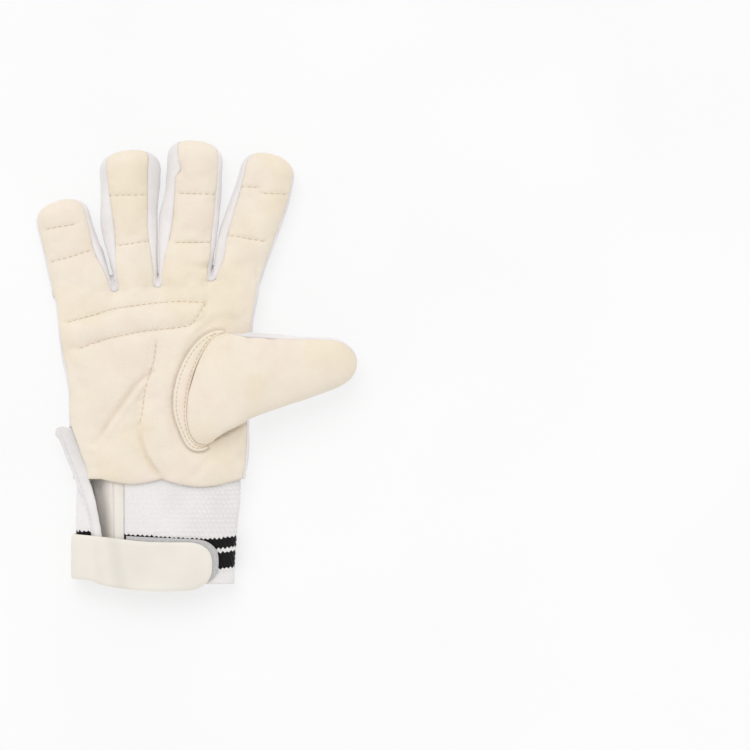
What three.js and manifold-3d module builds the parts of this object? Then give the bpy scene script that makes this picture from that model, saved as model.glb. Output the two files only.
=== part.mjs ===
// A right-hand wicketkeeping inner glove, lying palm up on its back.
// Millimetres: +X towards the thumb, +Y towards the fingertips, +Z up.
// The hand and the thumb are each one smooth skin of points, divided into panels
// at the seams. Every panel is then given its thickness inwards.

import * as THREE from "three";
import { mergeVertices } from "three/addons/utils/BufferGeometryUtils.js";
import Module from "manifold-3d";

const wasm = await Module();
wasm.setup();

// Thicknesses of the materials, and the gap left at every seam.
const LEATHER = 1.6;
const COTTON = 1.3;
const KNIT = 1.9;
const FASTENER = 1.0;
const STRAP = 1.6;
const WELT = 1.4;
const GAP = 0.4;
const GRAIN = 1e-3; // points nearer than this are one point

// The flattened body from the wrist's hem to the knuckles.
const BODY = [
  { y: -120, left: -66.5, right: 22.6, height: 17.8 },
  { y: -104, left: -66.4, right: 22.7, height: 18.2 },
  { y: -88, left: -66.2, right: 23.9, height: 18.7 },
  { y: -74, left: -66.1, right: 25.2, height: 19.0 },
  { y: -60, left: -65.8, right: 26.2, height: 19.6 },
  { y: -48, left: -66.4, right: 27.8, height: 20.8 },
  { y: -38, left: -67.4, right: 28.2, height: 21.6 },
  { y: -28, left: -67.6, right: 28.2, height: 22.0 },
  { y: -12, left: -68.3, right: 28.4, height: 22.0 },
  { y: 8, left: -71.8, right: 28.9, height: 21.0 },
  { y: 24, left: -73.9, right: 30.4, height: 19.6 },
  { y: 41, left: -76.2, right: 33.2, height: 17.6 },
];
const SQUARE_TOP = 2.7; // exponents of the body's rounded section
const SQUARE_UNDER = 4;
const SAG = 0.8; // how far the rounded underside is pressed flat
const CUFF_INSET = 2.3;

// The leather's left edge, cut back along the vent in its lower part.
const LEATHER_LEFT = [
  { y: -64, x: -57.0 },
  { y: -56, x: -57.6 },
  { y: -48, x: -60.4 },
  { y: -39, x: -63.6 },
  { y: -30, x: -66.7 },
  { y: -12, x: -67.4 },
  { y: 8, x: -70.9 },
  { y: 24, x: -73.0 },
  { y: 41, x: -75.3 },
];
const LEATHER_RIGHT = 1.1; // distance of the right edge from the outline
const HEEL_Y = -60.2;
const HEEL_LOBES = [
  { from: -50, to: -18.4, depth: 2.6 },
  { from: -18.4, to: 24, depth: 4.0 },
];

// Fingers from the little finger to the index: axis from the tip to the base.
const FINGERS = [
  { name: "little", tip: [-72.3, 87.7], base: [-59.6, 38.9], height: 15.2 },
  { name: "ring", tip: [-35.8, 114.2], base: [-31.0, 40.0], height: 16.0 },
  { name: "middle", tip: [-1.3, 119.5], base: [-6.6, 41.6], height: 16.4 },
  { name: "index", tip: [38.4, 112.3], base: [22.0, 43.7], height: 16.0 },
];

// Offsets from a finger's axis by the distance along it: the outer skin and the
// edge of the leather. The white fourchettes show between the two.
const SECTIONS = {
  little: [
    { along: 0, skinL: -15.6, leatherL: -14.7, leatherR: 11.4, skinR: 13.0 },
    { along: 17, skinL: -15.9, leatherL: -15.0, leatherR: 11.4, skinR: 13.4 },
    { along: 34, skinL: -16.0, leatherL: -15.1, leatherR: 10.8, skinR: 14.8 },
    { along: 50, skinL: -15.6, leatherL: -14.7, leatherR: 12.0, skinR: 15.2 },
  ],
  ring: [
    { along: 0, skinL: -16.0, leatherL: -13.2, leatherR: 10.0, skinR: 16.0 },
    { along: 25, skinL: -16.8, leatherL: -11.8, leatherR: 8.6, skinR: 15.2 },
    { along: 43, skinL: -17.6, leatherL: -10.5, leatherR: 7.6, skinR: 12.4 },
    { along: 74, skinL: -13.6, leatherL: -9.8, leatherR: 8.8, skinR: 10.9 },
  ],
  middle: [
    { along: 0, skinL: -14.2, leatherL: -7.6, leatherR: 14.2, skinR: 15.2 },
    { along: 25, skinL: -13.4, leatherL: -8.4, leatherR: 13.9, skinR: 16.2 },
    { along: 43, skinL: -15.6, leatherL: -8.6, leatherR: 13.6, skinR: 15.5 },
    { along: 78, skinL: -13.8, leatherL: -9.8, leatherR: 11.4, skinR: 12.1 },
  ],
  index: [
    { along: 0, skinL: -12.6, leatherL: -10.4, leatherR: 14.9, skinR: 15.9 },
    { along: 22, skinL: -13.6, leatherL: -10.6, leatherR: 15.4, skinR: 16.4 },
    { along: 43, skinL: -15.8, leatherL: -11.0, leatherR: 13.6, skinR: 14.6 },
    { along: 70, skinL: -17.4, leatherL: -10.0, leatherR: 10.6, skinR: 11.0 },
  ],
};
const TIP = { start: 0.6, closed: 1.5, crown: 9, round: 11, square: 2.4 };
const TIP_ROWS = [0, 0.08, 0.25, 0.55, 1]; // shares of the rounded length
const SEAM_DROP = 3.2; // how far below the crown the leather meets a fourchette
const SIDE_SEAM = 0.7; // and its height at the hand's outer sides
const TUCK = 2.6; // how far the back's seam lies inside the outline
const LIFT = 1.3; // and how high above the table
// The side strips bulge below the leather, in full where the seam is this much
// higher than the widest line, and are squared off towards the back's seam.
const SIDE_STRIP = { bulge: 0.8, fullAt: 3, under: 0.25, drop: 0.7 };
const ROOT_FROM = 0.5; // share of a finger's length where it turns to its root
const PALM_FROM = 0.6; // and where its surface starts to follow the palm's
const FINGER_SQUARE = { leather: 3, back: 4 }; // exponents of a finger's section

// Between the fingers: the bottom of the leather's U and where the tips part.
const CROTCHES = [
  { x: -43.5, y: 39.2, partX: -50.0, partY: 63.3 },
  { x: -20.4, y: 41.3, partX: -20.6, partY: 79.0 },
  { x: 7.7, y: 44.7, partX: 13.4, partY: 84.0 },
];
const WEB = { leather: 2.1, skin: 0.4, back: 3.0, rise: 7.5 };
const DIP = { depth: 3.4, wide: 6.5, long: 11 };
const LIFT_REACH = 4; // how far round a crotch the back is lifted as much
const PART_REACH = 1.2; // how far up, past the parting point, fingers stay apart
const KNUCKLES = { leftY: 33, rightY: 42 };

// The padded band across the knuckles and the sewn seam down the palm.
const BAND = [
  { x: -70, upper: 22.0, lower: 7.5 },
  { x: -53, upper: 27.0, lower: 12.3 },
  { x: -35, upper: 31.0, lower: 16.8 },
  { x: -15, upper: 33.5, lower: 19.2 },
  { x: 5, upper: 33.2, lower: 24.0 },
];
const BAND_RISE = 1.7;
const BAND_FADE = 4; // length over which its end on the thumb's side fades out
const PALM_SEAM = [
  { y: -60, x: -17.6 },
  { y: -48, x: -26.2 },
  { y: -31, x: -29.6 },
  { y: -11, x: -26.2 },
  { y: 12, x: -20.8 },
];
const PALM_GROOVE = { depth: 0.9, half: 4.0, fade: 6, low: -70, lowFade: 8 };

// The oval hole under the thumb, and the thumb's sections from over the palm's
// edge to its tip. The leather's upper edge lies inside the outline by `seam`.
const HOLE = { x: 9.8, y: -12.0, long: 30.2, short: 12.7, tilt: 15, margin: 3.4 };
const HOLE_TOOL = { bottom: 9, depth: 30 };
const THUMB = [
  { x: 28, upper: 17.9, lower: -29.2, under: 19.6, crown: 32.6, seam: 3.0 },
  { x: 40, upper: 17.0, lower: -24.8, under: 15.4, crown: 31.0, seam: 2.6 },
  { x: 52, upper: 15.9, lower: -20.8, under: 11.6, crown: 29.0, seam: 2.0 },
  { x: 64, upper: 15.4, lower: -16.8, under: 8.6, crown: 26.4, seam: 1.4 },
  { x: 74, upper: 15.4, lower: -13.0, under: 6.8, crown: 23.8, seam: 1.0 },
  { x: 85.3, upper: 14.6, lower: -11.6, under: 6.2, crown: 21.4, seam: 1.0 },
];
const THUMB_ROUND = 13;
const THUMB_SQUARE = 2.4;
const THUMB_TIP = 0.4; // distance of the first section from the tip
const THUMB_TIP_ROWS = [0, 0.05, 0.2, 0.5, 1]; // shares of the rounded length
const THUMB_STATIONS = [62, 51, 40, 28]; // x of the other straight sections
// The leather's part of the oval seam, in degrees round the thumb's base.
const THUMB_LEATHER = { from: 90, to: 300 };
const THUMB_LIFT = 1.2; // the thumb's base above the palm
const WELT_INSET = { seam: 0.5, lift: 0.2 }; // its place off the oval and the palm
const WELT_WIDTHS = [
  { turn: 102, width: 1.6 },
  { turn: 118, width: 3.6 },
  { turn: 134, width: 5.2 },
  { turn: 155, width: 6.8 },
  { turn: 180, width: 7.6 },
  { turn: 207, width: 7.2 },
  { turn: 235, width: 5.0 },
  { turn: 262, width: 4.8 },
  { turn: 284, width: 3.0 },
];

// The bound edge of the vent at the little finger's side, from its top down.
const VENT_TOP = -33;
const VENT_EDGE = [
  { y: -114.9, x: -50.6, z: 14.3 },
  { y: -102.0, x: -51.2, z: 14.6 },
  { y: -88.3, x: -52.8, z: 14.9 },
  { y: -74.0, x: -55.9, z: 15.0 },
  { y: -64.4, x: -59.0, z: 14.8 },
  { y: -57.0, x: -61.4, z: 14.9 },
  { y: -49.5, x: -64.6, z: 14.2 },
  { y: -40.6, x: -68.0, z: 13.4 },
  { y: -33.6, x: -70.8, z: 13.0 },
];
const BINDING = { wide: 5.4, thick: 2.6, ends: 0.55, square: 0.8 };

const CUFF = { top: -56.2, bottom: -115.8, under: 1.9, lap: -38.1 };
const PLACKET_TOP = -60;
// The placket's other edge rolls down into the wrist, beneath the vent's edge.
const PLACKET_LEFT = [
  { y: -116, x: -46.0 },
  { y: -90, x: -47.4 },
  { y: -60, x: -51.6 },
];
const PLACKET_ROLL = [
  { part: 0, drop: 0 },
  { part: 0.4, drop: -0.2 },
  { part: 0.7, drop: 0.6 },
  { part: 1, drop: 2.2 },
];

// The strap runs from under the cuff round the left edge to its rounded end.
const STRAP_EDGES = [
  { x: -67, top: -89.2, bottom: -113.2 },
  { x: -52, top: -90.4, bottom: -116.8 },
  { x: -25, top: -93.2, bottom: -119.5 },
  { x: 12, top: -93.4, bottom: -118.8 },
];
// Its end at x, its tail under the cuff at x `tail`, both at height y.
const STRAP_END = { x: 8.8, blunt: 0.5, round: 15, tail: -22, rise: 1.25, y: -104 };
const PATCH = { left: -37, right: 12.0, top: -91.2, bottom: -115.4, round: 13 };
const PATCH_DEPTH = 0.65; // its outer side below the body's skin

// How many steps the surfaces are divided into.
const STEPS = {
  columns: 5, finger: 8, palm: 15, hole: 48, thumb: 8, thumbBend: 6, welt: 24,
  weltWide: 2, cuff: 6, cuffRound: 32, bindingRound: 10, placket: 6,
  strap: 30, strapWide: 4, patch: 14, patchWide: 4,
};

const LOOKS = {
  leather: { color: 0xeadcc6, roughness: 0.85 },
  cotton: { color: 0xf0eef0, roughness: 0.95 },
  knit: { color: 0xf2f0f0, roughness: 0.95 },
  strap: { color: 0xece7dd, roughness: 0.6 },
  fastener: { color: 0xd9d6d6, roughness: 0.9 },
};

const { cos, sin, abs, min, max, PI, hypot, sign } = Math;
const clamp = (v, lo = 0, hi = 1) => min(hi, max(lo, v));
const mix = (a, b, t) => a + (b - a) * t;
const ease = (t) => clamp(t) ** 2 * (3 - 2 * clamp(t));
const point = (x, y, z = 0) => new THREE.Vector3(x, y, z);
const steps = (n) => Array.from({ length: n + 1 }, (_, i) => i / n);
const closerAtEdges = (n) => steps(n).map((t) => -cos(PI * t));
const rounded = (c, power) => (1 - clamp(abs(c)) ** power) ** (1 / power);

// A smooth curve through one column of a table whose rows ascend by `key`.
function through(rows, key, at, value) {
  let i = 0;
  while (i < rows.length - 2 && at > rows[i + 1][key]) i++;
  const [b, c] = [rows[i], rows[i + 1]];
  const a = rows[max(i - 1, 0)];
  const d = rows[min(i + 2, rows.length - 1)];
  const slope = (p, q) => (q[value] - p[value]) / (q[key] - p[key]);
  const span = c[key] - b[key];
  const t = clamp((at - b[key]) / span);
  return (
    b[value] * (1 + 2 * t) * (1 - t) ** 2 +
    c[value] * t * t * (3 - 2 * t) +
    slope(a, c) * span * t * (1 - t) ** 2 +
    slope(b, d) * span * t * t * (t - 1)
  );
}
const edgeAt = (y, side) => through(BODY, "y", y, side < 0 ? "left" : "right");
const leatherLeft = (y) => through(LEATHER_LEFT, "y", y, "x");
const ventX = (y) => through(VENT_EDGE, "y", y, "x");
const ventZ = (y) => through(VENT_EDGE, "y", y, "z");

// The body's section: how far across a point lies, and its top and underside.
function across(x, y) {
  const [left, right] = [edgeAt(y, -1), edgeAt(y, 1)];
  return clamp((2 * x - left - right) / (right - left), -1, 1);
}
const halfHeight = (y) => through(BODY, "y", y, "height") / 2;
const bodyTop = (x, y) =>
  halfHeight(y) * (1 + rounded(across(x, y), SQUARE_TOP));
function bodyUnder(x, y) {
  const half = halfHeight(y);
  return max(0, half - (half + SAG) * rounded(across(x, y), SQUARE_UNDER));
}

function bandRise(x, y) {
  const end = BAND.at(-1).x;
  const upper = through(BAND, "x", x, "upper");
  const lower = through(BAND, "x", x, "lower");
  const off = (2 * y - upper - lower) / (upper - lower);
  return BAND_RISE * max(0, 1 - off * off) * ease((end - x) / BAND_FADE);
}
function palmGroove(x, y) {
  const off = (x - through(PALM_SEAM, "y", y, "x")) / PALM_GROOVE.half;
  const above = ease((PALM_SEAM.at(-1).y - y) / PALM_GROOVE.fade);
  const faded = above * ease((y - PALM_GROOVE.low) / PALM_GROOVE.lowFade);
  return PALM_GROOVE.depth * max(0, 1 - off * off) * faded;
}
function nearCrotch(x, y, wide, long) {
  return CROTCHES.reduce((sum, crotch) => {
    const off = ((x - crotch.x) / wide) ** 2 + abs(crotch.y - y) / long;
    return sum + Math.exp(-off);
  }, 0);
}
function palmTop(x, y) {
  const dip = DIP.depth * nearCrotch(x, y, DIP.wide, DIP.long);
  return bodyTop(x, y) + bandRise(x, y) - palmGroove(x, y) - dip;
}
const palmUnder = (x, y) =>
  bodyUnder(x, y) + LIFT * nearCrotch(x, y, LIFT_REACH, LIFT_REACH);

// Points of the web round a crotch, from the left finger (0) to the right (1).
function webPoint(crotch, turn, layer) {
  const rise = { leather: 0, skin: WEB.rise, back: WEB.rise / 2 }[layer];
  const radius = WEB[layer];
  const x = crotch.x + radius * cos(PI * (1 + turn));
  const y = crotch.y + rise + radius * (1 + sin(PI * (1 + turn)));
  if (layer === "leather") return point(x, y, palmTop(x, y));
  if (layer === "back") return point(x, y, palmUnder(x, y));
  return point(x, y, halfHeight(KNUCKLES.rightY));
}

// The hand's own side edge at height y, for one layer.
function sidePoint(y, side, layer) {
  const edge = edgeAt(y, side);
  if (layer === "skin") return point(edge, y, halfHeight(y));
  if (layer === "back") {
    const x = edge - side * TUCK;
    return point(x, y, bodyUnder(x, y));
  }
  const x = side < 0 ? leatherLeft(y) : edge - LEATHER_RIGHT;
  return point(x, y, bodyTop(x, y));
}

const isForked = (i, side) => i + side >= 0 && i + side < FINGERS.length;
function rootPoint(i, side, layer) {
  if (isForked(i, side)) {
    const crotch = CROTCHES[side < 0 ? i - 1 : i];
    return webPoint(crotch, side < 0 ? 1 : 0, layer);
  }
  return sidePoint(side < 0 ? KNUCKLES.leftY : KNUCKLES.rightY, side, layer);
}

function axisOf({ tip, base }) {
  const length = hypot(base[0] - tip[0], base[1] - tip[1]);
  const down = [(base[0] - tip[0]) / length, (base[1] - tip[1]) / length];
  return { tip, length, down, right: [-down[1], down[0]] };
}
function place(axis, along, offset) {
  return point(
    axis.tip[0] + axis.down[0] * along + axis.right[0] * offset,
    axis.tip[1] + axis.down[1] * along + axis.right[1] * offset,
  );
}

// Keeps a finger's skin on its own side of the line between two fingers.
function keepApart(p, i, side) {
  const crotch = CROTCHES[side < 0 ? i - 1 : i];
  const up = (p.y - crotch.y) / (crotch.partY - crotch.y);
  const limit = mix(crotch.x, crotch.partX, up) - side * WEB.skin;
  if (up < PART_REACH && side * (p.x - limit) > 0) p.x = limit;
  return p;
}

// The seams of one side of a finger: leather edge, widest line, back's edge.
function sideOf(i, side, along) {
  const finger = FINGERS[i];
  const axis = axisOf(finger);
  const forked = isForked(i, side);
  const mid = finger.height / 2;
  const toRoot = ease((along / axis.length - ROOT_FROM) / (1 - ROOT_FROM));
  const opened = rounded(clamp(1 - (along - TIP.closed) / TIP.round), 2);
  const narrow = rounded(1 - along / TIP.round, TIP.square);
  const offsetOf = (name, at) =>
    through(SECTIONS[finger.name], "along", at, name + (side < 0 ? "L" : "R"));
  const wide = offsetOf("skin", along) * (along < TIP.round ? narrow : 1);
  const strip = offsetOf("leather", along) * (along < TIP.round ? narrow : 1);
  const offsets = {
    leather: mix(wide, strip, opened),
    skin: wide,
    back: wide - side * TUCK * opened,
  };
  const ends = {
    leather: offsetOf("leather", axis.length),
    skin: offsetOf("skin", axis.length),
    back: offsetOf("skin", axis.length) - side * TUCK,
  };
  const seam = forked ? finger.height - SEAM_DROP : finger.height * SIDE_SEAM;
  const heights = {
    leather: mix(mid, seam, opened),
    skin: mid,
    back: mix(mid, forked ? LIFT : 0, opened),
  };
  const seams = {};
  for (const layer of ["leather", "skin", "back"]) {
    const root = rootPoint(i, side, layer);
    const shift = root.clone().sub(place(axis, axis.length, ends[layer]));
    const p = place(axis, along, offsets[layer]).addScaledVector(shift, toRoot);
    if (forked && layer === "skin") keepApart(p, i, side);
    p.z = mix(heights[layer], root.z, toRoot);
    seams[layer] = toRoot === 1 ? root : p;
  }
  return seams;
}

// The side strip's points from the leather's edge to the back's edge.
function strip({ leather, skin, back }) {
  const over = leather.clone().lerp(skin, 0.5);
  over.z += SIDE_STRIP.bulge * clamp((leather.z - skin.z) / SIDE_STRIP.fullAt);
  const under = skin.clone().lerp(back, SIDE_STRIP.under);
  under.z = mix(skin.z, back.z, SIDE_STRIP.drop);
  return [leather, over, skin, under, back];
}

// One row of points across a finger, on its front or its back.
function fingerRow(i, along, columns, layer) {
  const finger = FINGERS[i];
  const axis = axisOf(finger);
  const [left, right] = [-1, 1].map((side) => sideOf(i, side, along)[layer]);
  const toPalm = ease((along / axis.length - PALM_FROM) / (1 - PALM_FROM));
  const mid = finger.height / 2;
  const reach = rounded(1 - (along - TIP.start) / TIP.crown, 2);
  const full = along - TIP.start < TIP.crown ? reach : 1;
  const arch = TIP.start * clamp(1 - along / TIP.round);
  const crown = layer === "back" ? mid - mid * full : mid + mid * full;
  return columns.map((c) => {
    if (abs(c) === 1) return c < 0 ? left : right;
    const p = left.clone().lerp(right, (c + 1) / 2);
    p.x -= axis.down[0] * arch * (1 - c * c);
    p.y -= axis.down[1] * arch * (1 - c * c);
    const edge = c < 0 ? left.z : right.z;
    const z = mix(edge, crown, 1 - abs(c) ** FINGER_SQUARE[layer]);
    const [low, high] = [-1, 1].map((side) => sidePoint(p.y, side, layer).x);
    const x = clamp(p.x, low, high);
    const end = layer === "back" ? palmUnder(x, p.y) : palmTop(x, p.y);
    p.z = mix(z, end, toPalm);
    return p;
  });
}

// A skin of quads, each belonging to a panel. Grids that touch share points.
class Skin {
  points = [];
  faces = [];
  known = new Map();
  pointAt(p) {
    const key = [p.x, p.y, p.z].map((v) => Math.round(v / GRAIN)).join();
    if (!this.known.has(key)) this.known.set(key, this.points.push(p) - 1);
    return this.known.get(key);
  }
  // Rows run away from the tip and columns clockwise round it, seen from there.
  grid(panelAt, rows) {
    const index = rows.map((row) => row.map((p) => this.pointAt(p)));
    for (let i = 0; i + 1 < rows.length; i++)
      for (let j = 0; j + 1 < rows[i].length; j++) {
        const panel = panelAt(i, j);
        const [above, below] = [index[i], index[i + 1]];
        const ring = [above[j], below[j], below[j + 1], above[j + 1]];
        const corners = ring.filter((v, k) => v !== ring[(k + 1) % 4]);
        if (panel && corners.length > 2) this.faces.push({ panel, corners });
      }
    return this;
  }
  normals() {
    const sums = this.points.map(() => point(0, 0, 0));
    for (const { corners } of this.faces) {
      const p = corners.map((v) => this.points[v]);
      const first = p[2].clone().sub(p[0]);
      const second = p[3 % p.length].clone().sub(p[1]);
      const normal = p.length === 3 ? second.cross(first).negate() : first.cross(second);
      for (const v of corners) sums[v].add(normal);
    }
    return sums.map((normal) => normal.normalize());
  }
  // A closed solid of one panel, its seams drawn back by half the gap.
  solid(panel, thickness) {
    const normals = this.normals();
    const mine = this.faces.filter((face) => face.panel === panel);
    const others = new Set(
      this.faces.filter((f) => f.panel !== panel).flatMap((f) => f.corners),
    );
    const edges = new Map();
    for (const { corners } of mine)
      corners.forEach((a, k) => {
        const b = corners[(k + 1) % corners.length];
        if (!edges.delete(b + "," + a)) edges.set(a + "," + b, [a, b]);
      });
    const shifts = new Map();
    for (const [a, b] of edges.values()) {
      if (!others.has(a) || !others.has(b)) continue;
      const along = this.points[b].clone().sub(this.points[a]);
      for (const v of [a, b]) {
        const inwards = normals[v].clone().cross(along).normalize();
        shifts.set(v, (shifts.get(v) ?? point(0, 0, 0)).add(inwards));
      }
    }
    const used = [...new Set(mine.flatMap((face) => face.corners))];
    const order = new Map(used.map((v, k) => [v, k]));
    const outer = used.map((v) => {
      const shift = shifts.get(v) ?? point(0, 0, 0);
      return this.points[v].clone().addScaledVector(shift.normalize(), GAP / 2);
    });
    const inner = outer.map((p, k) =>
      p.clone().addScaledVector(normals[used[k]], -thickness),
    );
    const n = used.length;
    const triangles = [];
    for (const { corners } of mine) {
      const [a, b, c, d] = corners.map((v) => order.get(v));
      triangles.push(a, b, c, n + c, n + b, n + a);
      if (corners.length === 4) triangles.push(a, c, d, n + d, n + c, n + a);
    }
    for (const edge of edges.values()) {
      const [a, b] = edge.map((v) => order.get(v));
      triangles.push(b, a, n + a, b, n + a, n + b);
    }
    const flat = [...outer, ...inner].flatMap((p) => [p.x, p.y, p.z]);
    return new THREE.BufferGeometry()
      .setAttribute("position", new THREE.Float32BufferAttribute(flat, 3))
      .setIndex(triangles);
  }
}

function toSolid(geometry) {
  const bare = geometry.clone();
  bare.deleteAttribute("normal");
  bare.deleteAttribute("uv");
  const merged = mergeVertices(bare, GRAIN);
  return new wasm.Manifold(
    new wasm.Mesh({
      numProp: 3,
      vertProperties: merged.attributes.position.array,
      triVerts: new Uint32Array(merged.index.array),
    }),
  );
}
function toGeometry(solid) {
  const mesh = solid.getMesh();
  const flat = new Float32Array(mesh.numVert * 3);
  for (let i = 0; i < mesh.numVert; i++)
    for (let k = 0; k < 3; k++)
      flat[3 * i + k] = mesh.vertProperties[mesh.numProp * i + k];
  return new THREE.BufferGeometry()
    .setAttribute("position", new THREE.BufferAttribute(flat, 3))
    .setIndex(new THREE.BufferAttribute(mesh.triVerts, 1));
}

// The hand: four finger tubes that run into the palm's tube.
const FORKS = [
  "fourchette_little_ring",
  "fourchette_ring_middle",
  "fourchette_middle_index",
];
const columns = closerAtEdges(STEPS.columns);
const hand = new Skin();
const knuckles = { leather: [], back: [] };

FINGERS.forEach((finger, i) => {
  const { length } = axisOf(finger);
  const tipRows = TIP_ROWS.map((t) => mix(TIP.start, TIP.round, t));
  const lower = steps(STEPS.finger).slice(1).map((t) => mix(TIP.round, length, t));
  const rows = [...tipRows, ...lower];
  const layers = {};
  for (const layer of ["leather", "back"])
    layers[layer] = rows.map((along) => fingerRow(i, along, columns, layer));
  hand.grid(() => "palm_leather", layers.leather);
  hand.grid(() => "back_fabric", layers.back.map((row) => row.toReversed()));
  const left = rows.map((along) => strip(sideOf(i, -1, along)).toReversed());
  const right = rows.map((along) => strip(sideOf(i, 1, along)));
  hand.grid(() => FORKS[i - 1] ?? "back_fabric", left);
  hand.grid(() => FORKS[i] ?? "back_fabric", right);
  for (const layer of ["leather", "back"]) {
    knuckles[layer].push(...layers[layer].at(-1));
    if (CROTCHES[i]) knuckles[layer].push(webPoint(CROTCHES[i], 0.5, layer));
  }
});
CROTCHES.forEach((crotch, i) => {
  const web = [0, 0.5, 1].map((turn) => {
    const [leather, skin, back] = ["leather", "skin", "back"].map((layer) =>
      webPoint(crotch, turn, layer),
    );
    return strip({ leather, skin, back });
  });
  hand.grid(() => FORKS[i], web);
});

function heelEdge(x) {
  return HEEL_LOBES.reduce((y, lobe) => {
    const t = (x - lobe.from) / (lobe.to - lobe.from);
    return t > 0 && t < 1 ? y - lobe.depth * sin(PI * t) : y;
  }, HEEL_Y);
}
function palmRow(layer, t) {
  const [left, right] = [-1, 1].map((side) => (y) => sidePoint(y, side, layer).x);
  const height = layer === "back" ? palmUnder : palmTop;
  return knuckles[layer].map((p) => {
    if (t === 0) return p;
    const share = (p.x - left(p.y)) / (right(p.y) - left(p.y));
    const end = mix(left(HEEL_Y), right(HEEL_Y), share);
    const y = mix(p.y, layer === "back" ? HEEL_Y : heelEdge(end), t);
    const x = mix(left(y), right(y), share);
    return point(x, y, height(x, y));
  });
}
function palmSide(front, back, side) {
  const [leather, under] = side < 0 ? [front[0], back[0]] : [front.at(-1), back.at(-1)];
  const points = strip({ leather, skin: sidePoint(leather.y, side, "skin"), back: under });
  if (side < 0 && leather.y < VENT_TOP) {
    const limit = ventX(leather.y) - BINDING.wide / 2 - 2 * GAP;
    const x = max(limit, edgeAt(leather.y, -1) + GAP);
    const ceiling = x > limit ? ventZ(leather.y) - BINDING.thick / 2 - GAP : Infinity;
    points[1] = point(x, leather.y, min(bodyTop(x, leather.y), ceiling));
  }
  return points;
}
const palmRows = steps(STEPS.palm).map((t) => {
  const [front, back] = [palmRow("leather", t), palmRow("back", t)];
  const left = palmSide(front, back, -1).toReversed();
  return { front, back: back.toReversed(), left, right: palmSide(front, back, 1) };
});
hand.grid(() => "palm_leather", palmRows.map((row) => row.front));
hand.grid(() => "back_fabric", palmRows.map((row) => row.back));
hand.grid(() => "back_fabric", palmRows.map((row) => row.right));
// Along the vent the left side is open between the fabric's edge and the leather.
const VENT_COLUMN = 3;
const isOpen = (i, j) => j === VENT_COLUMN && palmRows[i + 1].front[0].y < VENT_TOP;
hand.grid((i, j) => (isOpen(i, j) ? null : "back_fabric"), palmRows.map((row) => row.left));

// The oval seam round the thumb's base, widened by `offset`.
function oval(turn, offset) {
  const [angle, tilt] = [turn, HOLE.tilt].map(THREE.MathUtils.degToRad);
  const flat = [HOLE.short * cos(angle), HOLE.long * sin(angle)];
  const normal = [HOLE.long * cos(angle), HOLE.short * sin(angle)];
  const size = hypot(...normal);
  const u = flat[0] + (offset * normal[0]) / size;
  const v = flat[1] + (offset * normal[1]) / size;
  return point(
    HOLE.x + u * cos(tilt) + v * sin(tilt),
    HOLE.y - u * sin(tilt) + v * cos(tilt),
  );
}
const holeShape = new THREE.Shape(
  steps(STEPS.hole).slice(1).map((t) => oval(360 * t, -HOLE.margin)),
);
const holeTool = new THREE.ExtrudeGeometry(holeShape, {
  depth: HOLE_TOOL.depth,
  bevelEnabled: false,
}).translate(0, 0, HOLE_TOOL.bottom);
const palmWithHole = toGeometry(
  toSolid(hand.solid("palm_leather", LEATHER)).subtract(toSolid(holeTool)),
);

// The thumb: straight sections over its length, then a bend down to the oval.
function thumbSection(x, c, up, seamed) {
  const at = (name) => through(THUMB, "x", x, name);
  const toTip = (THUMB.at(-1).x - x) / THUMB_ROUND;
  const narrow = toTip < 1 ? rounded(1 - toTip, THUMB_SQUARE) : 1;
  const [upper, lower] = [at("upper"), at("lower")];
  const [crown, under] = [at("crown"), at("under")];
  const halfWide = ((upper - lower) / 2) * narrow;
  const halfHigh = ((crown - under) / 2) * (toTip < 1 ? rounded(1 - toTip, 2) : 1);
  const inset = seamed ? (at("seam") * narrow) / halfWide : 0;
  const k = c > 0 ? c * (1 - inset) : c;
  const y = (upper + lower) / 2 + k * halfWide;
  return point(x, y, (crown + under) / 2 + up * halfHigh * rounded(k, THUMB_SQUARE));
}
function thumbRing(x) {
  const tip = x === THUMB.at(-1).x;
  const over = closerAtEdges(STEPS.thumb).map((c) => thumbSection(x, -c, 1, !tip));
  const below = closerAtEdges(STEPS.thumb).map((c) => thumbSection(x, c, -1, false));
  return { over, below: [...below, over[0]] };
}
function ovalRing() {
  const onPalm = (turn) => {
    const p = oval(turn, 0);
    p.z = palmTop(p.x, p.y) + THUMB_LIFT;
    return p;
  };
  const { from, to } = THUMB_LEATHER;
  const over = closerAtEdges(STEPS.thumb).map((c) => onPalm(mix(from, to, (c + 1) / 2)));
  const below = steps(STEPS.thumb + 1).map((t) => onPalm(mix(to, from + 360, t)));
  return { over, below };
}
function bend(from, to, t) {
  const corner = to.clone();
  corner.z = max(from.z, to.z);
  const a = from.clone().lerp(corner, t);
  const b = corner.clone().lerp(to, t);
  return a.lerp(b, t);
}
const thumb = new Skin();
const thumbXs = [
  ...THUMB_TIP_ROWS.map((t) => THUMB.at(-1).x - THUMB_TIP - THUMB_ROUND * t),
  ...THUMB_STATIONS,
];
const straight = thumbXs.map(thumbRing);
const lastRing = straight.at(-1);
const base = ovalRing();
const bent = steps(STEPS.thumbBend).slice(1).map((t) => ({
  over: lastRing.over.map((p, j) => bend(p, base.over[j], t)),
  below: lastRing.below.map((p, j) => bend(p, base.below[j], t)),
}));
const tipPoint = thumbSection(THUMB.at(-1).x, 0, 0, false);
const tipRing = {
  over: lastRing.over.map(() => tipPoint),
  below: lastRing.below.map(() => tipPoint),
};
const thumbRings = [tipRing, ...straight, ...bent];
thumb.grid(() => "thumb_leather", thumbRings.map((ring) => ring.over));
thumb.grid(() => "thumb_back", thumbRings.map((ring) => ring.below));

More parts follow.
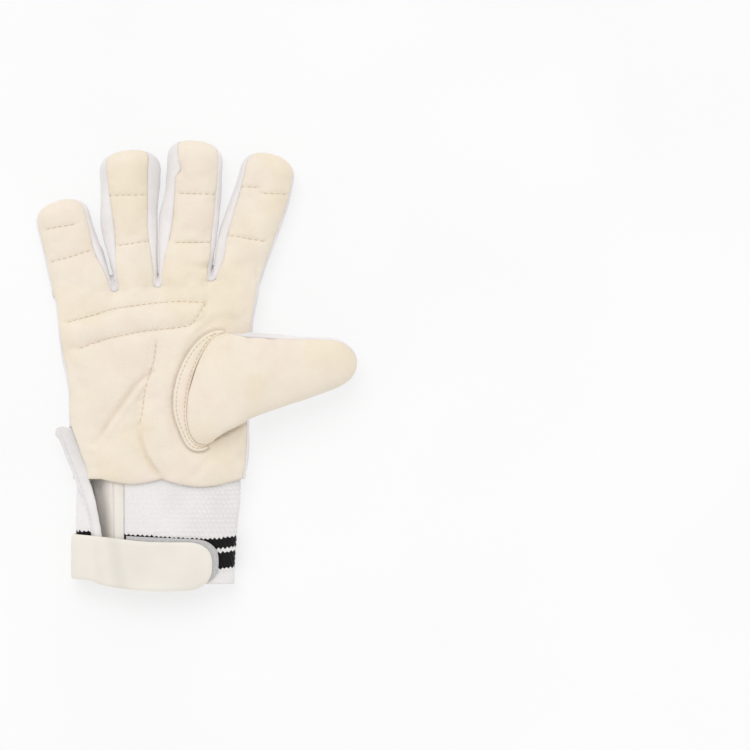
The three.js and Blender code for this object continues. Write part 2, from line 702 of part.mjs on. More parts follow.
// A single strip from a grid of points on its outer side.
function plainStrip(name, rows, thickness) {
  return new Skin().grid(() => name, rows).solid(name, thickness);
}
const weltRows = steps(STEPS.welt).map((t) => {
  const turn = mix(WELT_WIDTHS[0].turn, WELT_WIDTHS.at(-1).turn, t);
  const width = through(WELT_WIDTHS, "turn", turn, "width");
  return steps(STEPS.weltWide).map((s) => {
    const p = oval(turn, WELT_INSET.seam + width * (1 - s));
    p.z = palmTop(p.x, p.y) + GAP + WELT_INSET.lift + WELT;
    return p;
  });
});

// The wrist: sections round the body at a given inset, flat underneath.
function aroundBody(y, turn, lateral, above, below) {
  const [left, right] = [edgeAt(y, -1) + lateral, edgeAt(y, 1) - lateral];
  const [top, bottom] = [2 * halfHeight(y) - above, below];
  const [c, s] = [cos(turn), sin(turn)];
  const power = 2 / (s < 0 ? SQUARE_UNDER : SQUARE_TOP);
  const half = (top - bottom) / 2;
  const reach = s < 0 ? half + SAG : half;
  const x = (left + right) / 2 + ((right - left) / 2) * sign(c) * abs(c) ** power;
  return point(x, y, max(bottom, (top + bottom) / 2 + reach * sign(s) * abs(s) ** power));
}
// The turn at which such a section's top passes x.
function turnAt(x, y, lateral) {
  const [left, right] = [edgeAt(y, -1) + lateral, edgeAt(y, 1) - lateral];
  const c = clamp((2 * x - left - right) / (right - left), -1, 1);
  return Math.acos(sign(c) * abs(c) ** (SQUARE_TOP / 2));
}
function cuffPoint(y, turn) {
  const p = aroundBody(y, turn, CUFF_INSET, CUFF_INSET, CUFF.under);
  if (sin(turn) > 0) p.z -= palmGroove(p.x, y);
  return p;
}
const cuffRows = steps(STEPS.cuff).map((t) => {
  const y = mix(CUFF.top, CUFF.bottom, t);
  const start = turnAt(ventX(y) - BINDING.wide / 2 - GAP, y, CUFF_INSET);
  const end = 2 * PI + turnAt(CUFF.lap, y, CUFF_INSET);
  return steps(STEPS.cuffRound).map((s) => cuffPoint(y, mix(start, end, s))).toReversed();
});

const ventRows = VENT_EDGE.toReversed().flatMap((row, k, all) => {
  const next = all[k + 1];
  if (!next) return [row];
  const half = { y: (row.y + next.y) / 2 };
  half.x = ventX(half.y);
  half.z = through(VENT_EDGE, "y", half.y, "z");
  return [row, half];
});
const bindingRows = ventRows.map((row, k, all) => {
  const [before, after] = [all[max(k - 1, 0)], all[min(k + 1, all.length - 1)]];
  const ahead = point(after.x - before.x, after.y - before.y).normalize();
  const side = point(-ahead.y, ahead.x);
  const ends = k === 0 || k === all.length - 1 ? BINDING.ends : 1;
  return steps(STEPS.bindingRound).map((s) => {
    const turn = -2 * PI * s;
    const squared = (v) => ends * sign(v) * abs(v) ** BINDING.square;
    const wide = (BINDING.wide / 2) * squared(cos(turn));
    const p = point(row.x, row.y, row.z).addScaledVector(side, wide);
    p.z += (BINDING.thick / 2) * squared(sin(turn));
    return p;
  });
});
function closedTube(rows) {
  const ends = [rows[0], rows.at(-1)].map((row) =>
    row.reduce((sum, p) => sum.add(p), point(0, 0, 0)).divideScalar(row.length),
  );
  const rings = [rows[0].map(() => ends[0]), ...rows, rows[0].map(() => ends[1])];
  const skin = new Skin().grid(() => "tube", rings);
  const flat = skin.points.flatMap((p) => [p.x, p.y, p.z]);
  const triangles = skin.faces.flatMap(({ corners: [a, b, c, d] }) =>
    d === undefined ? [a, b, c] : [a, b, c, a, c, d],
  );
  return new THREE.BufferGeometry()
    .setAttribute("position", new THREE.Float32BufferAttribute(flat, 3))
    .setIndex(triangles);
}

const placketRows = steps(STEPS.placket).map((t) => {
  const y = mix(PLACKET_TOP, CUFF.bottom, t);
  const left = through(PLACKET_LEFT, "y", y, "x");
  return PLACKET_ROLL.map(({ part, drop }) => {
    const x = mix(CUFF.lap - GAP, left, part);
    const p = cuffPoint(y, turnAt(x, y, CUFF_INSET));
    p.z -= drop;
    return p;
  }).toReversed();
});

// Bands that lie round the cuff: the strap and the fastener's lower half.
function rounding(x, end, round) {
  return x > end - round ? rounded(1 - (end - x) / round, TIP.square) : 1;
}
const strapPoint = (y, turn) => aroundBody(y, turn, 0, -STRAP_END.rise, 0);
function strapEdges(x) {
  const at = (name) => through(STRAP_EDGES, "x", x, name);
  const [top, bottom] = [at("top"), at("bottom")];
  const [mid, half] = [(top + bottom) / 2, (top - bottom) / 2];
  const narrow = rounding(x, STRAP_END.x, STRAP_END.round);
  return [mid + half * narrow, mid - half * narrow];
}
const strapStart = turnAt(STRAP_END.x - STRAP_END.blunt, STRAP_END.y, 0);
const strapTail = 2 * PI - turnAt(STRAP_END.tail, STRAP_END.y, 0);
const strapRows = steps(STEPS.strap).map((t) => {
  const turn = mix(strapStart, strapTail, t);
  const [top, bottom] = strapEdges(strapPoint(STRAP_END.y, turn).x);
  return steps(STEPS.strapWide).map((s) => strapPoint(mix(top, bottom, s), turn));
});
const patchRows = steps(STEPS.patch).map((t) => {
  const x = mix(PATCH.right - STRAP_END.blunt, PATCH.left, t);
  const narrow = rounding(x, PATCH.right, PATCH.round);
  const half = ((PATCH.top - PATCH.bottom) / 2) * narrow;
  return steps(STEPS.patchWide).map((s) => {
    const y = (PATCH.top + PATCH.bottom) / 2 + half * (1 - 2 * s);
    return point(x, y, bodyTop(x, y) - PATCH_DEPTH);
  });
});

const PARTS = [
  ["palm_leather", palmWithHole, "leather"],
  ["back_fabric", hand.solid("back_fabric", COTTON), "cotton"],
  ...FORKS.map((name) => [name, hand.solid(name, COTTON), "cotton"]),
  ["thumb_leather", thumb.solid("thumb_leather", LEATHER), "leather"],
  ["thumb_back", thumb.solid("thumb_back", COTTON), "cotton"],
  ["thumb_welt", plainStrip("thumb_welt", weltRows, WELT), "leather"],
  ["knit_cuff", plainStrip("knit_cuff", cuffRows, KNIT), "knit"],
  ["vent_binding", closedTube(bindingRows), "cotton"],
  ["placket_binding", plainStrip("placket_binding", placketRows, LEATHER), "cotton"],
  ["wrist_strap", plainStrip("wrist_strap", strapRows, STRAP), "strap"],
  ["fastener_patch", plainStrip("fastener_patch", patchRows, FASTENER), "fastener"],
];

const glove = new THREE.Group();
for (const [name, geometry, look] of PARTS) {
  const plain = geometry.toNonIndexed();
  plain.computeVertexNormals();
  const material = new THREE.MeshStandardMaterial({ ...LOOKS[look], metalness: 0 });
  const mesh = new THREE.Mesh(plain, material);
  mesh.name = name;
  glove.add(mesh);
}
const box = new THREE.Box3().setFromObject(glove);
const middle = box.getCenter(new THREE.Vector3());
for (const mesh of glove.children)
  mesh.geometry.translate(-middle.x, -middle.y, -box.min.z);

export default glove;
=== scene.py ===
import math
import bpy
import numpy as np
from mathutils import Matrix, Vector
from mathutils.kdtree import KDTree


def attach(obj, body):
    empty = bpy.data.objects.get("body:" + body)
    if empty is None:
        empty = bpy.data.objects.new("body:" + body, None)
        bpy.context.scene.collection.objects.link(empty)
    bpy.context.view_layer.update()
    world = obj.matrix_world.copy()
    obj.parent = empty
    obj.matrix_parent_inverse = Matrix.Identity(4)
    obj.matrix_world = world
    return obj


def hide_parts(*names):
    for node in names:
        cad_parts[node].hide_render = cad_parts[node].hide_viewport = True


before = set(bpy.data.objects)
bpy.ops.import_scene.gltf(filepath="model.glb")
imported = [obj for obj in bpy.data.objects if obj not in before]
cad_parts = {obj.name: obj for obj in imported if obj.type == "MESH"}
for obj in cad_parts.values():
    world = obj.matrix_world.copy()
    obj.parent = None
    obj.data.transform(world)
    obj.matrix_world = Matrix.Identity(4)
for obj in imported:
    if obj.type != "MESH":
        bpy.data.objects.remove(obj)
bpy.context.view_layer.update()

# Lengths below are in millimetres in the glove's own drawing. CENTRE is the
# point of the drawing that lies at the model's origin.
CENTRE = np.array([0.1132, -0.0260, 0.0])
MM = 0.001

# Small tools.


def table(*rows):
    return np.array(rows, float)


def curve(rows, at, column=1):
    """The smooth curve through a table's first and given column, at one or many places."""
    xs, vs, at = rows[:, 0], rows[:, column], np.asarray(at, float)
    i = np.clip(np.searchsorted(xs, at, "left") - 1, 0, len(xs) - 2)
    before, after = np.maximum(i - 1, 0), np.minimum(i + 2, len(xs) - 1)
    span = xs[i + 1] - xs[i]
    t = np.clip((at - xs[i]) / span, 0, 1)
    start = (vs[i + 1] - vs[before]) / (xs[i + 1] - xs[before]) * span
    end = (vs[after] - vs[i]) / (xs[after] - xs[i]) * span
    return (
        vs[i] * (1 + 2 * t) * (1 - t) ** 2
        + vs[i + 1] * t * t * (3 - 2 * t)
        + start * t * (1 - t) ** 2
        + end * t * t * (t - 1)
    )


def mix(a, b, t):
    return a + (b - a) * t


def ease(t):
    t = np.clip(t, 0, 1)
    return t * t * (3 - 2 * t)


def bell(distance, width):
    return np.exp(-((distance / width) ** 2))


def rounded(c, power):
    return (1 - np.clip(np.abs(c), 0, 1) ** power) ** (1 / power)


def signed_power(v, power):
    return np.sign(v) * np.abs(v) ** power


def steps(n):
    return np.linspace(0, 1, n + 1)


def close_at_edges(n):
    return -np.cos(np.pi * steps(n))


def quarter_turn(n):
    """From 0 to 1, in steps that widen like those of a quarter circle."""
    return 1 - np.cos(np.pi / 2 * steps(n))


def xyz(x, y, z=0.0):
    return np.stack(np.broadcast_arrays(np.asarray(x, float), y, z), axis=-1)


def lengths_along(points):
    return np.concatenate([[0], np.cumsum(np.linalg.norm(np.diff(points, axis=0), axis=1))])


def unit(v):
    return v / np.maximum(np.linalg.norm(v, axis=-1, keepdims=True), 1e-9)


def tree_of(points):
    tree = KDTree(len(points))
    for k, point in enumerate(points):
        tree.insert(point, k)
    tree.balance()
    return tree


# Tables of the drawing.

BODY = table(
    # y, left, right, height
    [-120, -66.5, 22.6, 17.8],
    [-104, -66.4, 22.7, 18.2],
    [-88, -66.2, 23.9, 18.7],
    [-74, -66.1, 25.2, 19.0],
    [-60, -65.8, 26.2, 19.6],
    [-48, -66.4, 27.8, 20.8],
    [-38, -67.4, 28.2, 21.6],
    [-28, -67.6, 28.2, 22.0],
    [-12, -68.3, 28.4, 22.0],
    [8, -71.8, 28.9, 21.0],
    [24, -73.9, 30.4, 19.6],
    [41, -76.2, 33.2, 17.6],
)
SQUARE_TOP, SQUARE_UNDER, SAG = 2.7, 4, 0.8
LEATHER_LEFT = table(
    # y, x
    [-64, -57.0], [-56, -57.6], [-48, -60.4], [-39, -63.6], [-30, -66.7],
    [-12, -67.4], [8, -70.9], [24, -73.0], [41, -75.3],
)
LEATHER_RIGHT = 1.1
HEEL_Y = -60.2
# start x, end x, depth
HEEL_LOBES = [(-50, -18.4, 2.6), (-18.4, 24, 4.0)]
# name, tip, base, thickness
FINGERS = [
    ("little", (-72.3, 87.7), (-59.6, 38.9), 15.2),
    ("ring", (-35.8, 114.2), (-31.0, 40.0), 16.0),
    ("middle", (-1.3, 119.5), (-6.6, 41.6), 16.4),
    ("index", (38.4, 112.3), (22.0, 43.7), 16.0),
]
# along, skin left, leather left, leather right, skin right
SECTIONS = {
    "little": table(
        [0, -15.6, -14.7, 11.4, 13.0], [17, -15.9, -15.0, 11.4, 13.4],
        [34, -16.0, -15.1, 10.8, 14.8], [50, -15.6, -14.7, 12.0, 15.2],
    ),
    "ring": table(
        [0, -16.0, -13.2, 10.0, 16.0], [25, -16.8, -11.8, 8.6, 15.2],
        [43, -17.6, -10.5, 7.6, 12.4], [74, -13.6, -9.8, 8.8, 10.9],
    ),
    "middle": table(
        [0, -14.2, -7.6, 14.2, 15.2], [25, -13.4, -8.4, 13.9, 16.2],
        [43, -15.6, -8.6, 13.6, 15.5], [78, -13.8, -9.8, 11.4, 12.1],
    ),
    "index": table(
        [0, -12.6, -10.4, 14.9, 15.9], [22, -13.6, -10.6, 15.4, 16.4],
        [43, -15.8, -11.0, 13.6, 14.6], [70, -17.4, -10.0, 10.6, 11.0],
    ),
}
TIP_START, TIP_CLOSED, TIP_ROUND, TIP_SQUARE = 0.6, 1.5, 11, 2.4
SEAM_DROP, SIDE_SEAM, TUCK, LIFT, SIDE_BULGE = 3.2, 0.7, 2.6, 1.3, 0.8
SIDE_STEPS = 12
# x and y of the crotch, and of the point above it where the fingers part
CROTCHES = [(-43.5, 39.2, -50.0, 63.3), (-20.4, 41.3, -20.6, 79.0), (7.7, 44.7, 13.4, 84.0)]
LAYERS = ("leather", "skin", "back")
WEB = {"leather": 2.1, "skin": 0.4, "back": 3.0}
WEB_RISE = {"leather": 0.0, "skin": 7.5, "back": 3.75}
KNUCKLES_LEFT, KNUCKLES_RIGHT = 33, 42
BAND_HEIGHT = 1.7
BAND = table(
    # x, upper y, lower y
    [-70, 22.0, 7.5], [-53, 27.0, 12.3], [-35, 31.0, 16.8], [-15, 33.5, 19.2], [5, 33.2, 24.0],
)
# y, x, and the valley's depth and half width
PALM_SEAM = table([-60, -17.6], [-48, -26.2], [-31, -29.6], [-11, -26.2], [12, -20.8])
PALM_GROOVE, PALM_GROOVE_HALF = 0.9, 4.0
HOLE_X, HOLE_Y, HOLE_LONG, HOLE_SHORT, HOLE_TILT = 10.2, -12.0, 30.2, 12.7, 15
HOLE_MARGIN = 3.4
TILT_COS, TILT_SIN = math.cos(math.radians(HOLE_TILT)), math.sin(math.radians(HOLE_TILT))
THUMB = table(
    # x, upper, lower, under, crown, the leather's edge inside the outline
    [28, 17.8, -28.6, 19.6, 32.6, 2.8],
    [40, 16.6, -24.0, 15.4, 31.0, 2.2],
    [52, 15.4, -19.8, 11.6, 29.0, 1.4],
    [64, 14.8, -15.6, 8.6, 26.4, 0.9],
    [74, 14.4, -12.4, 6.8, 23.8, 0.6],
    [85.3, 13.8, -11.4, 6.2, 21.4, 0.4],
)
THUMB_ROUND, THUMB_TIP, THUMB_LIFT = 15, 2.05, 1.2
WELT_WIDTHS = table(
    # degrees round the hole, width
    [102, 0.9], [118, 3.2], [134, 5.2], [155, 6.9], [180, 7.9], [207, 7.4],
    [235, 5.0], [262, 4.8], [286, 2.6],
)
VENT_TOP = -33
VENT_EDGE = table(
    # y, x, z
    [-114.9, -50.6, 14.3], [-102.0, -51.2, 14.6], [-88.3, -52.8, 14.9],
    [-74.0, -55.9, 15.0], [-64.4, -59.0, 14.8], [-57.0, -61.4, 14.9],
    [-49.5, -64.6, 14.2], [-40.6, -68.0, 13.4], [-33.6, -70.8, 13.0],
)
BINDING_WIDE, BINDING_THICK = 5.4, 2.6
CUFF_TOP, CUFF_BOTTOM, CUFF_UNDER, CUFF_LAP, CUFF_INSET = -56.2, -115.8, 1.9, -38.1, 2.3
# y, x of the placket's left edge; share of the way left, drop; ends of its fold
PLACKET_LEFT = table([-116, -50.4], [-90, -51.2], [-60, -55.8])
PLACKET_ROLL = table([0, 0], [0.36, -0.1], [0.47, 0.9], [0.62, 3.6], [0.8, 7.0], [1, 8.8])
PLACKET_FOLD = [(-43.9, -58), (-43.2, -116)]
STRAP_EDGES = table(
    # x, top, bottom
    [-67, -89.2, -113.0], [-56, -90.0, -114.0], [-51, -90.5, -115.9],
    [-44, -91.3, -117.4], [-25, -93.2, -119.5], [12, -93.4, -118.8],
)
STRAP_END, STRAP_ROUND, STRAP_TAIL, STRAP_RISE, STRAP_MID = 8.8, 15, -22, 1.25, -104
PATCH_LEFT, PATCH_RIGHT, PATCH_BOTTOM, PATCH_ROUND, PATCH_DEPTH = -37, 12, -115.4, 13, 0.65
PATCH_TOP = table([-37, -90.2], [-15, -91.3], [6, -92.2], [12, -92.4])
LEATHER, COTTON, KNIT, FASTENER, STRAP, WELT, GAP = 1.6, 1.3, 1.9, 1.0, 1.6, 1.4, 0.4
SEAM_GAP = 0.08

# The glove's skin.


def edge_at(y, side):
    return curve(BODY, y, 1 if side < 0 else 2)


def across(x, y):
    left, right = edge_at(y, -1), edge_at(y, 1)
    return np.clip((2 * x - left - right) / (right - left), -1, 1)


def half_height(y):
    return curve(BODY, y, 3) / 2


def body_top(x, y):
    return half_height(y) * (1 + rounded(across(x, y), SQUARE_TOP))


def body_under(x, y):
    half = half_height(y)
    return np.maximum(0, half - (half + SAG) * rounded(across(x, y), SQUARE_UNDER))


def palm_groove(x, y):
    off = (x - curve(PALM_SEAM, y)) / PALM_GROOVE_HALF
    faded = ease((PALM_SEAM[-1, 0] - y) / 6) * ease((y + 70) / 8)
    return PALM_GROOVE * np.maximum(0, 1 - off * off) * faded


def band_rise(x, y):
    upper, lower = curve(BAND, x), curve(BAND, x, 2)
    off = (2 * y - upper - lower) / (upper - lower)
    return BAND_HEIGHT * np.maximum(0, 1 - off * off) * ease((BAND[-1, 0] - x) / 4)


def near_crotch(x, y, wide, long):
    return sum(
        np.exp(-(((x - cx) / wide) ** 2) - np.abs(cy - y) / long) for cx, cy, _, _ in CROTCHES
    )


def palm_top(x, y):
    dip = 3.4 * near_crotch(x, y, 6.5, 11)
    return body_top(x, y) + band_rise(x, y) - palm_groove(x, y) - dip


def palm_under(x, y):
    return body_under(x, y) + LIFT * near_crotch(x, y, 4, 4)


def web_point(i, turn, layer):
    cx, cy, _, _ = CROTCHES[i]
    angle = np.pi * (1 + turn)
    x = cx + WEB[layer] * np.cos(angle)
    y = cy + WEB_RISE[layer] + WEB[layer] * (1 + np.sin(angle))
    if layer == "leather":
        return xyz(x, y, palm_top(x, y))
    if layer == "back":
        return xyz(x, y, palm_under(x, y))
    return xyz(x, y, half_height(KNUCKLES_RIGHT))


def side_point(y, side, layer):
    edge = edge_at(y, side)
    if layer == "skin":
        return xyz(edge, y, half_height(y))
    if layer == "back":
        x = edge - side * TUCK
        return xyz(x, y, body_under(x, y))
    x = curve(LEATHER_LEFT, y) if side < 0 else edge - LEATHER_RIGHT
    return xyz(x, y, body_top(x, y))


def is_forked(i, side):
    return 0 <= i + side < len(FINGERS)


def root_point(i, side, layer):
    if is_forked(i, side):
        return web_point(i - 1 if side < 0 else i, 1.0 if side < 0 else 0.0, layer)
    return side_point(KNUCKLES_LEFT if side < 0 else KNUCKLES_RIGHT, side, layer)


def axis_of(i):
    """A finger's tip, length, and the directions along and across it."""
    _, tip, base, _ = FINGERS[i]
    tip, base = np.array(tip), np.array(base)
    length = np.hypot(*(base - tip))
    down = (base - tip) / length
    return tip, length, down, np.array([-down[1], down[0]])


def place(i, along, offset):
    tip, _, down, right = axis_of(i)
    return xyz(*(tip[k] + along * down[k] + offset * right[k] for k in (0, 1)))


def side_of(i, side, along):
    """The seams of one side of a finger, for an array of distances from the tip."""
    name, _, _, height = FINGERS[i]
    length = axis_of(i)[1]
    forked, mid = is_forked(i, side), height / 2
    to_root = ease((along / length - 0.5) / 0.5)
    opened = rounded(np.clip(1 - (along - TIP_CLOSED) / TIP_ROUND, 0, 1), 2)
    narrow = np.where(along < TIP_ROUND, rounded(1 - along / TIP_ROUND, TIP_SQUARE), 1)
    skin_column, leather_column = (1, 2) if side < 0 else (4, 3)

    def offsets(at, narrow, opened):
        skin = curve(SECTIONS[name], at, skin_column) * narrow
        leather = curve(SECTIONS[name], at, leather_column) * narrow
        return {"leather": mix(skin, leather, opened), "skin": skin, "back": skin - side * TUCK * opened}

    from_axis, ends = offsets(along, narrow, opened), offsets(length, 1, 1)
    seam = height - SEAM_DROP if forked else height * SIDE_SEAM
    heights = {
        "leather": mix(mid, seam, opened),
        "skin": np.full_like(along, mid),
        "back": mix(mid, LIFT if forked else 0, opened),
    }
    seams = {}
    for layer in LAYERS:
        root = root_point(i, side, layer)
        shift = root - place(i, length, ends[layer])
        p = place(i, along, from_axis[layer]) + to_root[:, None] * shift
        if forked and layer == "skin":
            cx, cy, part_x, part_y = CROTCHES[i - 1 if side < 0 else i]
            up = (p[:, 1] - cy) / (part_y - cy)
            limit = mix(cx, part_x, up) - side * WEB["skin"]
            over = np.maximum(side * (p[:, 0] - limit), 0) * ease((1.7 - up) / 0.7)
            p[:, 0] -= side * over
        p[:, 2] = mix(heights[layer], root[2], to_root)
        p[to_root >= 1] = root
        seams[layer] = p
    return seams


def smooth_rows(knots, n):
    """Catmull-Rom points through the knots along the second-last axis."""
    count = knots.shape[-2]
    t = np.linspace(0, count - 1, n + 1)
    i = np.minimum(t.astype(int), count - 2)
    f = (t - i)[:, None]
    a = knots[..., np.maximum(i - 1, 0), :]
    b, c = knots[..., i, :], knots[..., i + 1, :]
    d = knots[..., np.minimum(i + 2, count - 1), :]
    a = np.where((i == 0)[:, None], 2 * b - c, a)
    d = np.where((i == count - 2)[:, None], 2 * c - b, d)
    p = b + 0.5 * f * (c - a + f * (2 * a - 5 * b + 4 * c - d + f * (3 * (b - c) + d - a)))
    p[..., 0, :], p[..., -1, :] = knots[..., 0, :], knots[..., -1, :]
    return p


def strip(seams, reshape=None):
    """Rows of points from the leather's edge round the side to the back's edge."""
    leather, skin, back = (seams[layer] for layer in LAYERS)
    over = mix(leather, skin, 0.5)
    over[..., 2] += SIDE_BULGE * np.clip((leather[..., 2] - skin[..., 2]) / 3, 0, 1)
    if reshape:
        over = reshape(over)
    under = mix(skin, back, 0.25)
    under[..., 2] = mix(skin[..., 2], back[..., 2], 0.7)
    return smooth_rows(np.stack([leather, over, skin, under, back], axis=-2), SIDE_STEPS)


def finger_rows(i, along, columns, layer):
    """A finger's front or back, a row of points for each distance from the tip."""
    height = FINGERS[i][3]
    _, length, down, _ = axis_of(i)
    left, right = (side_of(i, side, along)[layer] for side in (-1, 1))
    to_root = ease((along / length - 0.6) / 0.4)[:, None]
    mid, depth = height / 2, TIP_ROUND - 2
    beyond = along - TIP_START
    reach = np.where(beyond < depth, rounded(1 - beyond / depth, 2), 1)[:, None]
    arch = (TIP_START * np.clip(1 - along / TIP_ROUND, 0, 1))[:, None]
    crown = mid - mid * reach if layer == "back" else mid + mid * reach
    c = columns[None, :]
    p = mix(left[:, None, :], right[:, None, :], ((c + 1) / 2)[..., None])
    for k in (0, 1):
        p[..., k] -= down[k] * arch * (1 - c * c)
    edge = mix(left[:, 2:], right[:, 2:], (c + 1) / 2)
    square = 1 - c**4 if layer == "back" else 1 - np.abs(c) ** 3
    y = p[..., 1]
    x = np.clip(p[..., 0], side_point(y, -1, layer)[..., 0], side_point(y, 1, layer)[..., 0])
    end = (palm_under if layer == "back" else palm_top)(x, y)
    p[..., 2] = mix(mix(edge, crown, square), end, to_root)
    p[:, 0], p[:, -1] = left, right
    return p


def without_repeats(corners):
    """A quad's corners, as a triangle where two of them coincide."""
    return list(dict.fromkeys(corners))


def open_edges(polygons):
    """The directed edges that no second polygon shares."""
    edges = {}
    for polygon in polygons:
        for a, b in zip(polygon, polygon[1:] + polygon[:1]):
            if edges.pop((b, a), None) is None:
                edges[(a, b)] = True
    return edges


class Skin:
    """A smooth surface of quads divided into panels. Grids that touch share points."""

    def __init__(self, *grids):
        flat = np.concatenate([rows.reshape(-1, 3) for _, rows, *_ in grids])
        keys = np.round(flat * 1e3).astype(np.int64)
        _, first, index = np.unique(keys, axis=0, return_index=True, return_inverse=True)
        self.index = index.ravel()
        self.points = flat[first]
        found, start = {}, 0
        for panel, rows, *keep in grids:
            v = self.index[start : start + rows[..., 0].size].reshape(rows.shape[:2])
            start += v.size
            quads = np.stack([v[:-1, :-1], v[1:, :-1], v[1:, 1:], v[:-1, 1:]], -1)
            quads = quads[keep[0]] if keep else quads.reshape(-1, 4)
            distinct = np.array([len(set(q)) for q in quads.tolist()])
            found.setdefault(panel, []).append(quads[distinct > 2])
        self.faces = {k: np.concatenate(v) for k, v in found.items()}
        every = np.concatenate(list(self.faces.values()))
        p = self.points[every]
        normal = np.cross(p[:, 2] - p[:, 0], p[:, 3] - p[:, 1])
        sums = np.zeros_like(self.points)
        for corner in range(4):
            np.add.at(sums, every[:, corner], normal)
        self.normals = unit(sums)

    def panel(self, name, thickness, relief, roll=0.3, roll_width=0.7):
        """A closed solid of one panel: points, faces, outer points' normals and lift."""
        used, local = np.unique(self.faces[name], return_inverse=True)
        polygons = [without_repeats(q) for q in local.reshape(-1, 4).tolist()]
        edges = open_edges(polygons)
        points, normals = self.points[used], self.normals[used]
        shift = np.zeros_like(points)
        for a, b in edges:
            for v in (a, b):
                shift[v] += unit(np.cross(normals[v], points[b] - points[a]))
        outer = points + unit(shift) * SEAM_GAP / 2
        rim = tree_of(points[sorted({v for edge in edges for v in edge})])
        away = np.array([rim.find(p)[2] for p in points])
        rim_drop = roll * bell(away, roll_width)
        lift = relief(points, normals, away)
        inner = outer - normals * thickness
        outer = outer + normals * (lift - rim_drop)[:, None]
        n = len(outer)
        faces = polygons + [[v + n for v in reversed(q)] for q in polygons]
        faces += [[b, a, a + n, b + n] for a, b in edges]
        return np.concatenate([outer, inner]), faces, normals, lift - 0.3 * rim_drop


# Relief: noise, sewn lines and soft creases, as heights in millimetres.


def hashed(cell, seed):
    h = cell[..., 0] * 374761393 + cell[..., 1] * 668265263 + cell[..., 2] * 2147483647
    h = (h + seed * 1274126177) & 0x7FFFFFFF
    h = ((h ^ (h >> 13)) * 1274126177) & 0x7FFFFFFF
    return ((h ^ (h >> 16)) & 0xFFFF) / 32767.5 - 1


def noise(points, size, seed):
    """Smooth noise from -1 to 1 whose lumps are about `size` across."""
    q = points / size
    cell = np.floor(q).astype(np.int64)
    f = ease(q - cell)
    total = 0.0
    for corner in range(8):
        step = np.array([corner & 1, corner >> 1 & 1, corner >> 2 & 1])
        weight = np.prod(np.where(step, f, 1 - f), axis=-1)
        total = total + weight * hashed(cell + step, seed)
    return total


def distance_to(line, points):
    """Distance in plan to a line, how far along it, and on which side each point is."""
    x, y = points[:, 0], points[:, 1]
    line = np.asarray(line, float)
    best, where, side = np.full(x.shape, 1e9), np.zeros(x.shape), np.ones(x.shape)
    start = 0.0
    for a, b in zip(line[:-1], line[1:]):
        ab = b - a
        length = np.hypot(*ab)
        t = np.clip(((x - a[0]) * ab[0] + (y - a[1]) * ab[1]) / length**2, 0, 1)
        d = np.hypot(x - a[0] - t * ab[0], y - a[1] - t * ab[1])
        turn = np.sign(ab[0] * (y - a[1]) - ab[1] * (x - a[0]))
        nearer = d < best
        best, where = np.where(nearer, d, best), np.where(nearer, start + t * length, where)
        side = np.where(nearer, turn, side)
        start += length
    return best, where, side


def valley(line, points, width):
    """1 on a line in plan, and falling to 0 beside it."""
    return bell(distance_to(line, points)[0], width)


# Stitches, and the sewn lines of the leather, in plan.
STITCH, STITCH_STEP, THREAD_RADIUS = 2.0, 3.1, 0.22
BAND_UPPER = [(-68.6, 22.6), (-59.6, 25.1), (-51.8, 27.3), (-44.1, 29.8), (-32.4, 31.6),
              (-23.1, 32.8), (-9.9, 33.8), (5.7, 33.2)]
BAND_LOWER = [(-62, 8.9), (-53.4, 12.0), (-45.6, 14.4), (-27.8, 18.1), (-13, 19.6),
              (-4, 20.8), (-1, 23), (1.8, 27.4), (3.6, 30.6), (5.7, 33.2)]
MIDDLE_SEAM = [(-20.8, 12.6), (-21.5, 6.4), (-22.3, 1.8), (-24.3, -4.5), (-26.2, -10.7),
               (-27.3, -16.9), (-28.1, -24.7), (-29.6, -31)]
MIDDLE_GROOVE = [(-29.6, -31), (-29.0, -38.7), (-26.2, -48), (-21.5, -55), (-17.6, -60.5)]
FINGER_ROWS = [
    [(-80.0, 72.0), (-62, 75.2)], [(-77.5, 54.8), (-66, 57.6), (-55.2, 61.2)],
    [(-46.6, 89.9), (-26.2, 90.3)], [(-41.6, 63.4), (-25.0, 65.8)],
    [(-9.0, 91.1), (10.6, 90.5)], [(-11.6, 65.1), (7.4, 65.1)],
    [(23.4, 94.6), (35.2, 94.2)], [(34.8, 91.1), (49.4, 90.5)],
    [(17.4, 68.9), (36.4, 65.6)],
]
SEWN = [BAND_UPPER, BAND_LOWER, MIDDLE_SEAM, *FINGER_ROWS]
PAD_CREASE = [(-22.6, -3.0), (-26.6, -5.6), (-30.8, -9.4), (-36.5, -17.2), (-42.4, -25.2),
              (-49.6, -35.8), (-53.6, -42)]
